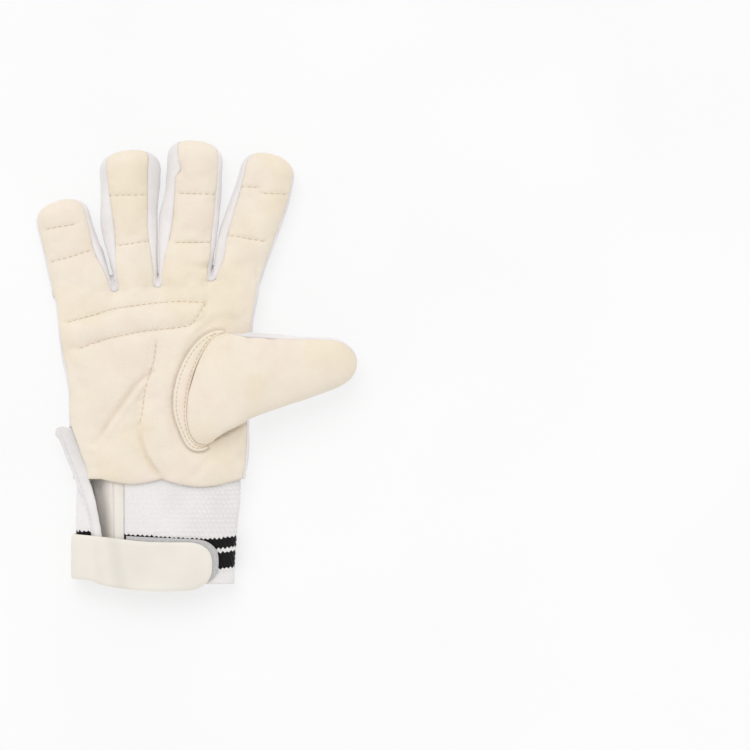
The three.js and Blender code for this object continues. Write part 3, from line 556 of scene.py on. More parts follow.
# line, depth, half width, rise beside it on its left side
CREASES = [
    (MIDDLE_GROOVE, 1.35, 1.3, 0.7),
    (PAD_CREASE, 1.5, 1.9, 0.9),
    ([(-14.5, -8), (-12.5, -17), (-11.0, -26.8)], 0.5, 2.4, 0.0),
    ([(9.5, -46.4), (4.5, -52), (-0.5, -58.1)], 0.9, 2.4, 0.4),
    ([(14, -46), (21, -48.5), (27, -47.5)], 0.5, 2.0, 0.2),
    ([(4.5, -40.6), (10.2, -38.6), (16, -36.0), (23.4, -32.3), (28.2, -29.8)], 2.0, 0.9, 0.0),
    ([(-3, 52.6), (3, 51.4), (8, 53.4)], 1.0, 2.2, 0.4),
    ([(3, 41.2), (7.5, 42.4)], 0.4, 1.6, 0.0),
    ([(-79, 52.5), (-68, 55.0)], 0.3, 2.0, 0.0),
    ([(-47, 36), (-42.5, 32.6)], 0.3, 2.0, 0.0),
    ([(-27, 39), (-31, 36.0)], 0.25, 2.4, 0.0),
    ([(-8, 98), (6, 99.5)], 0.4, 3.0, 0.0),
    ([(-10, 105), (-6, 99), (-8, 92)], 0.5, 2.0, 0.2),
    ([(22, 80), (34, 82)], 0.2, 3.0, 0.0),
]


def crease(points, line, depth, width, rise=0.0):
    """A fold along a line in plan that fades in and out, with a ridge on its left."""
    d, along, left = distance_to(line, points)
    share = along / lengths_along(line)[-1]
    faded = 0.35 + 0.65 * ease(share * 4) * ease((1 - share) * 4)
    return faded * (rise * bell(d * left - 1.5 * width, width) - depth * bell(d, width))


def cloth_relief(big, small, seed):
    def relief(points, normals, away):
        folds = big * noise(points, 14, seed) + small * noise(points, 5, seed + 1)
        pucker = 0.10 * noise(points * [1, 1, 0.4], 2.2, seed + 2)
        return (1 - np.exp(-away / 2.0)) * folds + pucker * np.exp(-away / 3)

    return relief


def slack_relief(seed, crotch, closed, fades):
    """The fourchettes' cloth is slack: it stands out towards the next finger."""
    folds = cloth_relief(0.25, 0.3, seed)

    def relief(points, normals, away):
        cx, cy, part_x, part_y = crotch
        up = points[:, 1] - cy
        between = mix(cx, part_x, np.clip(up / (part_y - cy), 0, 1.4))
        room = np.clip(np.abs(points[:, 0] - between) - 0.15, 0, 1.5)
        low = np.exp(-np.maximum(up - closed, 0) / fades) * ease(up / 4)
        bulge = 0.9 * room * low * ease((points[:, 2] - 6) / 5)
        return folds(points, normals, away) * ease(room) + bulge * (1 - np.exp(-away / 1.5))

    return relief


def soft_relief(big, small, seed, dents):
    def relief(points, normals, away):
        height = big * noise(points, 16, seed) + small * noise(points, 5, seed + 1)
        return height - sum(depth * valley(line, points, width) for line, depth, width in dents)

    return relief


# Materials.


def srgb(*levels):
    shares = [v / 255 for v in levels]
    return tuple(v / 12.92 if v <= 0.04045 else ((v + 0.055) / 1.055) ** 2.4 for v in shares)


def shade(colour, factor):
    return tuple(v * factor for v in colour)


class Look:
    """One material, built from nodes."""

    def __init__(self, name, roughness, specular=0.5, sheen=0.0):
        self.material = bpy.data.materials.new(name)
        self.material.use_nodes = True
        self.tree = self.material.node_tree
        self.shader = self.tree.nodes["Principled BSDF"]
        self.shader.inputs["Roughness"].default_value = roughness
        self.shader.inputs["Specular IOR Level"].default_value = specular
        self.shader.inputs["Sheen Weight"].default_value = sheen

    def node(self, kind, **inputs):
        """A new node, its inputs set to numbers and colours or linked to outputs."""
        node = self.tree.nodes.new("ShaderNode" + kind)
        self.fill((node.inputs[name], value) for name, value in inputs.items())
        return node

    def fill(self, pairs):
        for socket, value in pairs:
            if isinstance(value, (int, float)):
                socket.default_value = value
            elif isinstance(value, tuple):
                socket.default_value = (*value, 1)
            else:
                self.tree.links.new(value, socket)

    def texture(self, kind, scale, **inputs):
        """A procedural texture's value, in the piece's own coordinates."""
        place = self.node("TexCoord").outputs["Object"]
        node = self.node("Tex" + kind, Vector=place, Scale=scale, **inputs)
        return node.outputs["Distance" if kind == "Voronoi" else "Fac"]

    def attribute(self, name):
        node = self.node("Attribute")
        node.attribute_name = name
        return node.outputs["Fac"]

    def ramp(self, source, *stops):
        node = self.node("ValToRGB", Fac=source)
        while len(node.color_ramp.elements) < len(stops):
            node.color_ramp.elements.new(0.5)
        for element, (position, colour) in zip(node.color_ramp.elements, stops):
            element.position = position
            element.color = (*colour, 1)
        return node.outputs["Color"]

    def maths(self, operation, *values):
        node = self.node("Math")
        node.operation = operation
        self.fill(zip(node.inputs, values))
        return node.outputs[0]

    def blend(self, factor, a, b, mode="MIX"):
        node = self.node("Mix")
        node.data_type, node.blend_type = "RGBA", mode
        self.fill(zip((node.inputs[k] for k in (0, 6, 7)), (factor, a, b)))
        return node.outputs[2]

    # Painted shade: blends the colour towards a darker one by the point attribute of groove shade.
    def grooved(self, colour, dark):
        return self.blend(self.attribute("groove"), colour, dark)

    def finish(self, colour, *bumps):
        """Links the colour and the bumps: height, strength, distance in metres."""
        self.tree.links.new(colour, self.shader.inputs["Base Color"])
        normal = None
        for height, strength, distance in bumps:
            node = self.node("Bump", Height=height, Strength=strength, Distance=distance)
            if normal:
                self.tree.links.new(normal, node.inputs["Normal"])
            normal = node.outputs["Normal"]
        if normal:
            self.tree.links.new(normal, self.shader.inputs["Normal"])
        return self.material


def leather_look(name, light, warm, pink, groove_shade_colour):
    look = Look(name, 0.82, 0.28, 0.25)
    broad = look.texture("Noise", 28, Detail=2.0, Roughness=0.5)
    patch = look.texture("Noise", 75, Detail=4.0, Roughness=0.6)
    nap = look.texture("Noise", 1500, Detail=3.0, Roughness=0.7)
    pores = look.texture("Voronoi", 900)
    colour = look.ramp(broad, (0.36, pink), (0.5, light), (0.66, warm))
    soft = look.ramp(patch, (0.3, (0.93, 0.92, 0.90)), (0.65, (1, 1, 1)))
    fine = look.ramp(nap, (0.3, (0.94, 0.94, 0.93)), (0.7, (1, 1, 1)))
    colour = look.blend(0.7, colour, soft, "MULTIPLY")
    # Painted shade: grooves darken towards the shade colour.
    colour = look.grooved(look.blend(0.6, colour, fine, "MULTIPLY"), groove_shade_colour)
    return look.finish(colour, (patch, 0.25, 0.0012), (pores, 0.12, 0.0004), (nap, 0.35, 0.00025))


# The distance between the cotton's threads, in metres.
WEAVE_PITCH = 0.00055


def woven_look(name, colour):
    """Plain woven cotton: crossing threads in the surface, tinted a little."""
    look = Look(name, 0.9, 0.25, 0.2)
    frequency = 2 * math.pi / WEAVE_PITCH
    split = look.node("SeparateXYZ", Vector=look.node("TexCoord").outputs["Object"])
    x, y, z = split.outputs
    warp = look.maths("SINE", look.maths("MULTIPLY", x, frequency))
    weft = look.maths("SINE", look.maths("MULTIPLY", look.maths("ADD", y, z), frequency))
    weave = look.maths("MULTIPLY", warp, weft)
    fuzz = look.texture("Noise", 900, Detail=3.0, Roughness=0.7)
    broad = look.texture("Noise", 45, Detail=3.0)
    base = look.ramp(broad, (0.35, shade(colour, 0.9)), (0.6, colour))
    # Painted shade in the cloth's grooves.
    base = look.grooved(base, shade(colour, 0.6))
    return look.finish(base, (broad, 0.3, 0.001), (weave, 0.22, 0.00012), (fuzz, 0.25, 0.0002))


# Lower and upper level of the two stripes; how far and how closely their edges are jagged.
STRIPE_LEVELS = [(-105.5, -96.9), (-94.7, -89.2)]
JAG_STITCH, JAG_RAGGED, JAG_PITCH = 1.9, 1.3, 2.4


def knit_look(name, white, black):
    """White knit with two black stripes round the wrist, jagged at their edges."""
    look = Look(name, 0.92, 0.2, 0.25)
    turn = look.maths("MULTIPLY", look.attribute("round"), 1 / JAG_PITCH)
    stitch = look.maths("MULTIPLY", look.maths("PINGPONG", turn, 0.5), JAG_STITCH)
    ragged = look.maths("MULTIPLY", look.texture("Noise", 420, Detail=2.0), JAG_RAGGED)
    level = look.maths("ADD", look.attribute("stripe_level"), look.maths("ADD", stitch, ragged))
    bands = []
    for low, high in STRIPE_LEVELS:
        above, below = look.maths("GREATER_THAN", level, low), look.maths("LESS_THAN", level, high)
        bands.append(look.maths("MULTIPLY", above, below))
    loops = look.texture("Voronoi", 1100)
    fuzz = look.texture("Noise", 1300, Detail=3.0, Roughness=0.7)
    tone = look.ramp(fuzz, (0.3, shade(white, 0.9)), (0.65, white))
    # Painted shade darkens the white in the knit's hollows.
    colour = look.blend(look.maths("ADD", *bands), look.grooved(tone, shade(white, 0.8)), black)
    return look.finish(colour, (loops, 0.4, 0.0003), (fuzz, 0.3, 0.0002))


def vinyl_look(name, colour):
    look = Look(name, 0.5, 0.4)
    broad = look.texture("Noise", 35, Detail=3.0)
    grain = look.texture("Voronoi", 1400)
    fine = look.texture("Noise", 2200, Detail=2.0)
    base = look.ramp(broad, (0.35, shade(colour, 0.95)), (0.65, colour))
    # Painted shade in the strap's dents and along its rims.
    base = look.grooved(base, shade(colour, 0.75))
    return look.finish(base, (broad, 0.25, 0.0015), (grain, 0.15, 0.00015), (fine, 0.2, 0.0001))


def pile_look(name, colour):
    """The looped pile of a hook-and-loop patch."""
    look = Look(name, 0.95, sheen=0.4)
    loops = look.texture("Voronoi", 1600)
    fuzz = look.texture("Noise", 2400, Detail=3.0, Roughness=0.8)
    base = look.ramp(loops, (0.0, colour), (0.6, shade(colour, 0.72)))
    return look.finish(base, (loops, 0.7, 0.0005), (fuzz, 0.4, 0.0003))


def thread_look(name, colour):
    look = Look(name, 0.75)
    twist = look.texture("Wave", 2600, Distortion=1.0)
    base = look.ramp(twist, (0.2, shade(colour, 0.8)), (0.7, colour))
    return look.finish(base, (twist, 0.3, 0.0001))


CREAM, WARM, PINK = srgb(245, 234, 217), srgb(244, 231, 210), srgb(245, 231, 217)
# The last colour is the painted shade in the leather's grooves.
leather = leather_look("chamois", CREAM, WARM, PINK, srgb(188, 164, 132))
cotton = woven_look("white_cotton", srgb(241, 237, 236))
lining = woven_look("warm_white_cotton", srgb(241, 235, 227))
knit = knit_look("striped_knit", srgb(243, 240, 239), srgb(18, 15, 17))
vinyl = vinyl_look("strap_vinyl", srgb(239, 233, 223))
pile = pile_look("loop_pile", srgb(224, 222, 222))
thread = thread_look("cream_thread", srgb(226, 209, 182))
white_thread = thread_look("white_thread", srgb(238, 236, 236))

# Pieces.


def to_metres(points):
    return (np.asarray(points) - CENTRE) * MM


def add_object(name, data):
    thing = bpy.data.objects.new(name, data)
    bpy.context.scene.collection.objects.link(thing)
    return thing


def new_mesh(name, points, faces):
    mesh = bpy.data.meshes.new(name)
    mesh.from_pydata(points, [], faces)
    mesh.update()
    return mesh


def make(name, points, faces, material, slot, node=None, **attributes):
    """One named piece from points in drawing millimetres, smooth shaded."""
    points = np.array(points, float)
    points[:, 2] = np.maximum(points[:, 2], 0)
    mesh = new_mesh(name, to_metres(points).tolist(), faces)
    for key, values in attributes.items():
        mesh.attributes.new(key, "FLOAT", "POINT").data.foreach_set("value", values)
    mesh.materials.append(material)
    mesh.shade_smooth()
    piece = add_object(name, mesh)
    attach(piece, "root")
    if node:
        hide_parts(node)
    return piece


def grooves(lift, count, low=-0.15, high=-1.3, most=0.42):
    """How much painted shade darkens each point in its grooves: outer points by their lift, inner ones
    plain.
    """
    dark = np.clip((low - lift) / (low - high), 0, 1) * most
    return np.concatenate([dark, np.zeros(count - len(dark))])


def build_panel(skin, name, thickness, material, slot, relief, **options):
    """One panel of a skin as a piece. Gives it, its outer points and their normals."""
    points, faces, normals, lift = skin.panel(name, thickness, relief, **options)
    # Painted shade in the panel's grooves and rolled rims, from how low each point's lift is.
    groove = grooves(lift, len(points))
    piece = make(name + "_visual", points, faces, material, slot, name, groove=groove)
    return piece, points[: len(normals)], normals


def nearest(tree, points):
    """The four points of a tree nearest to each point: their numbers and distances."""
    found = [tree.find_n(p, 4) for p in points]
    index = np.array([[k for _, k, _ in near] for near in found])
    return index, np.array([[d for _, _, d in near] for near in found])


def surface_of(points, normals):
    """Looks up the heights and normals of a piece's outer side near points in plan."""
    tree = tree_of(points * [1, 1, 0])

    def at(x, y):
        index, d = nearest(tree, xyz(x, y))
        weight = 1 / (d + 0.05)
        weight /= weight.sum(1)[:, None]
        return (weight * points[index, 2]).sum(1), (weight[..., None] * normals[index]).sum(1)

    return at


# The camera, straight above, framed as the photograph is.
VIEW_X, VIEW_Y, VIEW_WIDTH, MID_HEIGHT = 94.6, -5.1, 397.5, 11
LENS, SENSOR = 200, 36
optics = bpy.data.cameras.new("camera")
optics.lens, optics.sensor_width = LENS, SENSOR
optics.sensor_fit = "HORIZONTAL"
camera = add_object("camera", optics)
camera.location = to_metres([VIEW_X, VIEW_Y, VIEW_WIDTH * LENS / SENSOR + MID_HEIGHT])
bpy.context.scene.camera = camera

# The hand: four finger tubes that run into the palm's tube.
FORKS = ["fourchette_little_ring", "fourchette_ring_middle", "fourchette_middle_index"]
COLUMNS, TIP_ROWS, FINGER_STEP, WEB_STEPS, PALM_ROWS = 34, 16, 0.85, 8, 125
grids, finger_fronts, knuckles = [], [], {"leather": [], "back": []}
for i in range(len(FINGERS)):
    length = axis_of(i)[1]
    tips = TIP_START + (TIP_ROUND - TIP_START) * quarter_turn(TIP_ROWS)
    count = int(round((length - TIP_ROUND) / FINGER_STEP))
    along = np.concatenate([tips, np.linspace(TIP_ROUND, length, count + 1)[1:]])
    columns = close_at_edges(COLUMNS)
    front, rear = (finger_rows(i, along, columns, layer) for layer in ("leather", "back"))
    left, right = (strip(side_of(i, side, along)) for side in (-1, 1))
    finger_fronts.append(front)
    grids += [
        ("palm_leather", front),
        ("back_fabric", rear[:, ::-1]),
        (FORKS[i - 1] if is_forked(i, -1) else "back_fabric", left[:, ::-1]),
        (FORKS[i] if is_forked(i, 1) else "back_fabric", right),
    ]
    for layer, rows in (("leather", front), ("back", rear)):
        knuckles[layer].append(rows[-1])
        if i < len(CROTCHES):
            knuckles[layer].append(web_point(i, steps(WEB_STEPS)[1:-1], layer))
for i, fork in enumerate(FORKS):
    grids.append((fork, strip({k: web_point(i, steps(WEB_STEPS), k) for k in LAYERS})))


def heel_edge(x):
    y = np.full_like(x, HEEL_Y)
    for start, end, depth in HEEL_LOBES:
        y -= depth * np.sin(np.pi * np.clip((x - start) / (end - start), 0, 1))
    return y


def palm_rows(layer):
    def limits(y):
        return side_point(y, -1, layer)[..., 0], side_point(y, 1, layer)[..., 0]

    top = np.concatenate(knuckles[layer])
    left, right = limits(top[:, 1])
    share = (top[:, 0] - left) / (right - left)
    ends = mix(*limits(HEEL_Y), share)
    end_y = heel_edge(ends) if layer == "leather" else np.full_like(ends, HEEL_Y)
    y = mix(top[:, 1], end_y, steps(PALM_ROWS)[:, None])
    x = mix(*limits(y), share)
    p = xyz(x, y, (palm_top if layer == "leather" else palm_under)(x, y))
    p[0] = top
    return p


def vented(over):
    """The upper row of the left side, drawn in beneath the binding along the vent."""
    y = over[:, 1]
    limit = curve(VENT_EDGE, y) - BINDING_WIDE / 2 - 2 * GAP
    x = np.maximum(limit, edge_at(y, -1) + GAP)
    ceiling = np.where(x > limit, curve(VENT_EDGE, y, 2) - BINDING_THICK / 2 - GAP, np.inf)
    drawn = xyz(x, y, np.minimum(body_top(x, y), ceiling))
    return np.where((y < VENT_TOP)[:, None], drawn, over)


def palm_side(front, rear, side):
    at = 0 if side < 0 else -1
    edge = front[:, at]
    seams = {"leather": edge, "skin": side_point(edge[:, 1], side, "skin"), "back": rear[:, at]}
    return strip(seams, vented if side < 0 else None)


def outside_hole(rows):
    """Which quads of the palm's grid lie outside the hole under the thumb."""
    middles = (rows[:-1, :-1] + rows[1:, 1:]) / 2
    x, y = middles[..., 0] - HOLE_X, middles[..., 1] - HOLE_Y
    u, v = x * TILT_COS - y * TILT_SIN, x * TILT_SIN + y * TILT_COS
    short, long = HOLE_SHORT - HOLE_MARGIN, HOLE_LONG - HOLE_MARGIN
    return (u / short) ** 2 + (v / long) ** 2 > 1


front, rear = palm_rows("leather"), palm_rows("back")
open_row = front[1:, 0, 1] < VENT_TOP
open_column = np.arange(SIDE_STEPS) >= SIDE_STEPS * 3 // 4
hand = Skin(
    *grids,
    ("palm_leather", front, outside_hole(front)),
    ("back_fabric", rear[:, ::-1]),
    ("back_fabric", palm_side(front, rear, 1)),
    ("back_fabric", palm_side(front, rear, -1)[:, ::-1], ~(open_row[:, None] & open_column)),
)

# Places where the stitched leather's edge is drawn aside: centre, shift, reach.
# The glove's back, below FRONT_ABOVE, stays where it is.
DRAWN = [
    ((-9.8, 104.6), (1.9, -0.6), 3.4),
    ((-12.4, 99.0), (-0.7, 0.0), 3.2),
    ((3.0, 47.2), (1.0, -1.4), 3.0),
]
FRONT_ABOVE = 8
for centre, shift, reach in DRAWN:
    away = np.hypot(*(hand.points[:, :2] - centre).T)
    pull = bell(away, reach) * (hand.points[:, 2] > FRONT_ABOVE)
    hand.points[:, :2] += pull[:, None] * shift

# Beside the index finger's crotch the leather ends further from the slot.
FOLD_Y, FOLD_REACH, FOLD_SHIFT = 55.5, 9.5, 3.0
cx, cy, part_x, part_y = CROTCHES[2]
x, y, z = hand.points.T
from_slot = x - mix(cx, part_x, (y - cy) / (part_y - cy))
beside = ease((from_slot - 0.6) / 2.4) * ease((10 - from_slot) / 7) * ease((z - 9) / 6)
hand.points[:, 0] += FOLD_SHIFT * bell(y - FOLD_Y, FOLD_REACH) * beside


def oval(turn, offset):
    """A point of the thumb hole's oval, moved outwards by an offset."""
    c, s = np.cos(np.radians(turn)), np.sin(np.radians(turn))
    size = np.hypot(HOLE_LONG * c, HOLE_SHORT * s)
    u = HOLE_SHORT * c + offset * HOLE_LONG * c / size
    v = HOLE_LONG * s + offset * HOLE_SHORT * s / size
    return HOLE_X + u * TILT_COS + v * TILT_SIN, HOLE_Y - u * TILT_SIN + v * TILT_COS


def oval_line(turns, offset):
    return np.stack(oval(turns, offset), -1)


# The thumb's hole, and the outer edge of the welt that is sewn beside it.
HOLE_LINE = oval_line(np.linspace(0, 360, 73), 0.0)
WELT_FROM, WELT_TO = WELT_WIDTHS[0, 0], WELT_WIDTHS[-1, 0]
welt_turns = np.linspace(WELT_FROM, WELT_TO, 60)
WELT_EDGE = oval_line(welt_turns, 0.5 + curve(WELT_WIDTHS, welt_turns))

# The padding: leather cut a little larger than what lies beneath it, held at its
# rims and sewn lines and pushed outwards, as a cloth simulation on a coarser grid.
PAD_FRAMES, PAD_SCALE = 20, 0.01
PAD_HELD = [(line, 1.1) for line in (*SEWN, MIDDLE_GROOVE, PAD_CREASE)] + [(HOLE_LINE, 7)]
CLOTH = {
    "quality": 5, "mass": 0.4, "air_damping": 5,
    "tension_stiffness": 20, "compression_stiffness": 20,
    "shear_stiffness": 8, "bending_stiffness": 8.0,
    "tension_damping": 12, "compression_damping": 12,
    "shear_damping": 8, "bending_damping": 1.0,
    "shrink_min": -0.006, "use_pressure": True, "uniform_pressure_force": 1.6,
    "vertex_group_mass": "held",
}


def every_other(rows):
    """Every other row and column of a grid, its last row and column among them."""
    chosen = np.unique(np.r_[0, np.arange(len(rows) - 1, 0, -2)])
    return rows[chosen][:, ::2]


def simulate_padding():
    """A function that gives the padding's height over points of the leather."""
    palm = every_other(front)
    fingers = [("pad", every_other(rows)) for rows in finger_fronts]
    coarse = Skin(*fingers, ("pad", palm, outside_hole(palm)))
    polygons = [without_repeats(q) for q in coarse.faces["pad"].tolist()]
    mesh = new_mesh("padding", (coarse.points * PAD_SCALE).tolist(), polygons)
    pad = add_object("padding", mesh)
    held = {v for edge in open_edges(polygons) for v in edge}
    for line, reach in PAD_HELD:
        held |= set(np.flatnonzero(distance_to(line, coarse.points)[0] < reach).tolist())
    pad.vertex_groups.new(name="held").add(sorted(held), 1.0, "REPLACE")
    cloth = pad.modifiers.new("cloth", "CLOTH")
    for key, value in CLOTH.items():
        setattr(cloth.settings, key, value)
    cloth.settings.effector_weights.gravity = 0
    cloth.collision_settings.use_collision = False
    cloth.point_cache.frame_start, cloth.point_cache.frame_end = 1, PAD_FRAMES
    for at in range(1, PAD_FRAMES + 1):
        bpy.context.scene.frame_set(at)
    shaped = pad.evaluated_get(bpy.context.evaluated_depsgraph_get())
    settled = np.array([v.co for v in shaped.data.vertices]) / PAD_SCALE
    heights = ((settled - coarse.points) * coarse.normals).sum(axis=1)
    bpy.context.scene.frame_set(1)
    bpy.data.objects.remove(pad)
    bpy.data.meshes.remove(mesh)
    tree = tree_of(coarse.points)

    def height(points):
        index, d = nearest(tree, points)
        weight = 1 / (d + 0.15) ** 2
        return (weight * heights[index]).sum(1) / weight.sum(1)

    return height


palm_padding = simulate_padding()


def palm_relief(points, normals, away):
    """The leather's padding, sewn lines and creases, held low beneath the welt."""
    nearest_seam = np.minimum(away, 30)
    height = np.zeros(len(points))
    for line in SEWN:
        d, along, _ = distance_to(line, points)
        nearest_seam = np.minimum(nearest_seam, d)
        pull = 0.34 + 0.18 * np.cos((along - 0.4) * 2 * np.pi / STITCH_STEP)
        pucker = 0.09 * np.sin(along * 2 * np.pi / 4.2)
        height += pucker * bell(d - 1.7, 1.3) - pull * bell(d, 0.8)
    for fold in CREASES:
        height += crease(points, *fold)
    height += 0.6 * (1 - np.exp(-nearest_seam / 4.0))
    height += 0.42 * noise(points, 24, 1) + 0.2 * noise(points, 10, 2)
    height += 0.06 * noise(points, 3.2, 3)
    height += 0.10 * noise(points * [1, 0.35, 1], 2.4, 5) * bell(away, 5)
    if palm_padding:
        height += np.clip(palm_padding(points), -0.3, 1.3)
    from_hole = distance_to(HOLE_LINE, points)[0]
    height = np.where(height > 0, height * ease((from_hole - 7) / 5), height)
    return height - 0.75 * valley(WELT_EDGE, points, 0.75)


_, *palm_outer = build_panel(
    hand, "palm_leather", LEATHER, leather, "leather", palm_relief, roll=0.4
)
build_panel(hand, "back_fabric", COTTON, cotton, "cotton", cloth_relief(0.5, 0.25, 11))
# seed, how far up its slot a fourchette stands out, and over what length that fades
SLACK = [(21, 14, 16), (24, 14, 16), (27, 28, 18)]
for fork, crotch, (seed, closed, fades) in zip(FORKS, CROTCHES, SLACK):
    slack = slack_relief(seed, crotch, closed, fades)
    build_panel(hand, fork, COTTON, cotton, "cotton", slack)

# The thumb: straight sections over its length, then a bend down to the oval.
THUMB_COLUMNS, THUMB_SIDE, THUMB_TIP_ROWS, THUMB_ROWS, THUMB_BENDS = 40, 8, 16, 53, 42
# Where the leather's seam meets the hole, in degrees round it.
SEAM_FROM, SEAM_TO = 90, 304
THUMB_END = THUMB[-1, 0]


def thumb_section(x, k, up):
    """Points across the thumb at x, for k from -1 to 1, on its upper or lower side."""
    upper, lower, under, crown = (curve(THUMB, x, c) for c in (1, 2, 3, 4))
    beyond = max(0.0, 1 - (THUMB_END - x) / THUMB_ROUND)
    half_wide = (upper - lower) / 2 * rounded(beyond, THUMB_TIP)
    half_high = (crown - under) / 2 * rounded(beyond, 2)
    z = (crown + under) / 2 + up * half_high * rounded(k, TIP_SQUARE)
    return xyz(x, (upper + lower) / 2 + k * half_wide, z)


def thumb_ring(x):
    upper, lower, inside = (curve(THUMB, x, c) for c in (1, 2, 5))
    seam = 1 - 2 * inside / (upper - lower)
    c = -close_at_edges(THUMB_COLUMNS)
    side = 1 - (1 - seam) * steps(THUMB_SIDE)[1:] ** 2
    over = thumb_section(x, np.where(c > 0, c * seam, c), 1)
    below = np.concatenate([thumb_section(x, -c, -1), thumb_section(x, side, 1)])
    below[0], below[-1] = over[-1], over[0]
    return over, below


def on_palm(turn):
    x, y = oval(turn, 0.0)
    return xyz(x, y, palm_top(x, y) + THUMB_LIFT)


def bend(start, end, t):
    corner = end.copy()
    corner[:, 2] = np.maximum(start[:, 2], end[:, 2])
    return mix(mix(start, corner, t), mix(corner, end, t), t)


thumb_xs = np.concatenate([
    THUMB_END - THUMB_ROUND * quarter_turn(THUMB_TIP_ROWS)[1:],
    np.linspace(THUMB_END - THUMB_ROUND, THUMB[0, 0], THUMB_ROWS + 1)[1:],
])
rings = [thumb_ring(x) for x in thumb_xs]
over_base = on_palm(mix(SEAM_FROM, SEAM_TO, (1 + close_at_edges(THUMB_COLUMNS)) / 2))
below_base = on_palm(mix(SEAM_TO, SEAM_FROM + 360, steps(THUMB_COLUMNS + THUMB_SIDE)))
below_base[0], below_base[-1] = over_base[-1], over_base[0]
last_over, last_below = rings[-1]
for t in steps(THUMB_BENDS)[1:]:
    rings.append((bend(last_over, over_base, t), bend(last_below, below_base, t)))
tip = thumb_section(THUMB_END, np.array([0.0]), 1)
overs, belows = (np.stack([np.repeat(tip, len(p[0]), 0), *p]) for p in zip(*rings))
thumb = Skin(("thumb_leather", overs), ("thumb_back", belows))

# line, depth, half width
THUMB_CREASES = [
    ([(36, 19), (41, 13), (44, 4)], 0.5, 2.6),
    ([(26, 20), (30, 8), (31, -6)], 0.4, 3.0),
    ([(50, -20), (46, -10), (45, 0)], 0.4, 2.6),
    ([(64, -15), (61, -4)], 0.25, 2.4),
    ([(8, 20), (18, 14), (27, 13)], 0.4, 2.6),
    ([(8, -42), (16, -33), (20, -24)], 0.45, 3.0),
]


def thumb_relief(points, normals, away):
    height = 0.5 * (1 - np.exp(-away / 4)) - 0.1
    height += 0.45 * ease((18 - points[:, 0]) / 5) * bell(away - 3.0, 1.5)
    for fold in THUMB_CREASES:
        height += crease(points, *fold)
    height += 0.4 * noise(points, 20, 31) + 0.18 * noise(points, 8, 32)
    return height + 0.06 * noise(points, 3, 33)


build_panel(thumb, "thumb_leather", LEATHER, leather, "leather", thumb_relief)
build_panel(thumb, "thumb_back", COTTON, cotton, "cotton", cloth_relief(0.3, 0.2, 41))

# The flat welt that is stitched round the near side of the thumb's base. Its two
# rows of stitches lie this far from its outer and its inner edge.
WELT_STEPS, WELT_ACROSS, WELT_ROWS = 150, 12, (1.5, 1.6)
turns = np.linspace(WELT_FROM, WELT_TO, WELT_STEPS + 1)
widths = curve(WELT_WIDTHS, turns)
x, y = oval(turns[:, None], 0.1 + widths[:, None] * (1 - steps(WELT_ACROSS)))
welt = Skin(("thumb_welt", xyz(x, y, palm_top(x, y) + GAP + 0.2 + WELT)))
welt_lines = [oval_line(turns, widths - WELT_ROWS[0])[10:], oval_line(turns, WELT_ROWS[1])[14:]]


def welt_relief(points, normals, away):
    return 0.1 * noise(points, 5, 51) - 0.3 * sum(valley(w, points, 0.7) for w in welt_lines)


_, *welt_outer = build_panel(
    welt, "thumb_welt", WELT, leather, "leather", welt_relief, roll=0.5
)

# The wrist: sections round the body at a given inset, flat underneath.


def sides_at(y, inset):
    return edge_at(y, -1) + inset, edge_at(y, 1) - inset


def around_body(y, turn, lateral, above, below):
    left, right = sides_at(y, lateral)
    top = 2 * half_height(y) - above
    c, s = np.cos(turn), np.sin(turn)
    power = np.where(s < 0, 2 / SQUARE_UNDER, 2 / SQUARE_TOP)
    half = (top - below) / 2
    reach = np.where(s < 0, half + SAG, half)
    x = (left + right) / 2 + (right - left) / 2 * signed_power(c, power)
    z = (top + below) / 2 + reach * signed_power(s, power)
    return xyz(x, y, np.maximum(below, z))


def turn_at(x, y, lateral):
    left, right = sides_at(y, lateral)
    c = np.clip((2 * x - left - right) / (right - left), -1, 1)
    return np.arccos(signed_power(c, SQUARE_TOP / 2))


def cuff_point(y, turn):
    p = around_body(y, turn, CUFF_INSET, CUFF_INSET, CUFF_UNDER)
    p[..., 2] -= np.where(np.sin(turn) > 0, palm_groove(p[..., 0], p[..., 1]), 0)
    return p


CUFF_ROWS, CUFF_COLUMNS, KNIT_PITCH = 100, 330, 2.5
y = np.linspace(CUFF_TOP, CUFF_BOTTOM, CUFF_ROWS + 1)[:, None]
start = turn_at(curve(VENT_EDGE, y) - BINDING_WIDE / 2 - GAP, y, CUFF_INSET)
end = 2 * np.pi + turn_at(CUFF_LAP, y, CUFF_INSET)
turn = mix(end, start, steps(CUFF_COLUMNS))
# Near the vent the hem rises a little.
risen = 0.052 * ease((-46 - cuff_point(y, turn)[..., 0]) / 8)
cuff_rows = cuff_point(CUFF_TOP + (y - CUFF_TOP) * (1 - risen), turn)
cuff = Skin(("knit_cuff", cuff_rows))
# How far round the cuff each of its points lies.
cuff_round = np.zeros(len(cuff.points))
cuff_round[cuff.index] = np.tile(lengths_along(cuff_rows[CUFF_ROWS // 2]), CUFF_ROWS + 1)


def cuff_relief(points, normals, away):
    x, y = points[:, 0], points[:, 1]
    u, v = cuff_round / KNIT_PITCH * np.pi, y / KNIT_PITCH * np.pi
    waffle = np.abs(np.sin(u + v / 2) * np.cos(v))
    over = normals[:, 2] > 0
    shown = np.where(over, 0.3 + 0.7 * ease((x + 30) / 40), 1.0)
    shown *= np.where(over & (x < CUFF_LAP), 0.35, 1.0) * ease((y + 109) / 1.5)
    height = 0.42 * (waffle - 0.6) * shown - 0.1
    height += 0.3 * noise(points, 12, 61) + 0.06 * noise(points, 1.6, 62)
    return height - 0.15 * np.exp(-away / 1.5) - 0.25 * bell(y + 109.3, 0.7)


points, faces, normals, lift = cuff.panel("knit_cuff", KNIT, cuff_relief, roll=0.15)
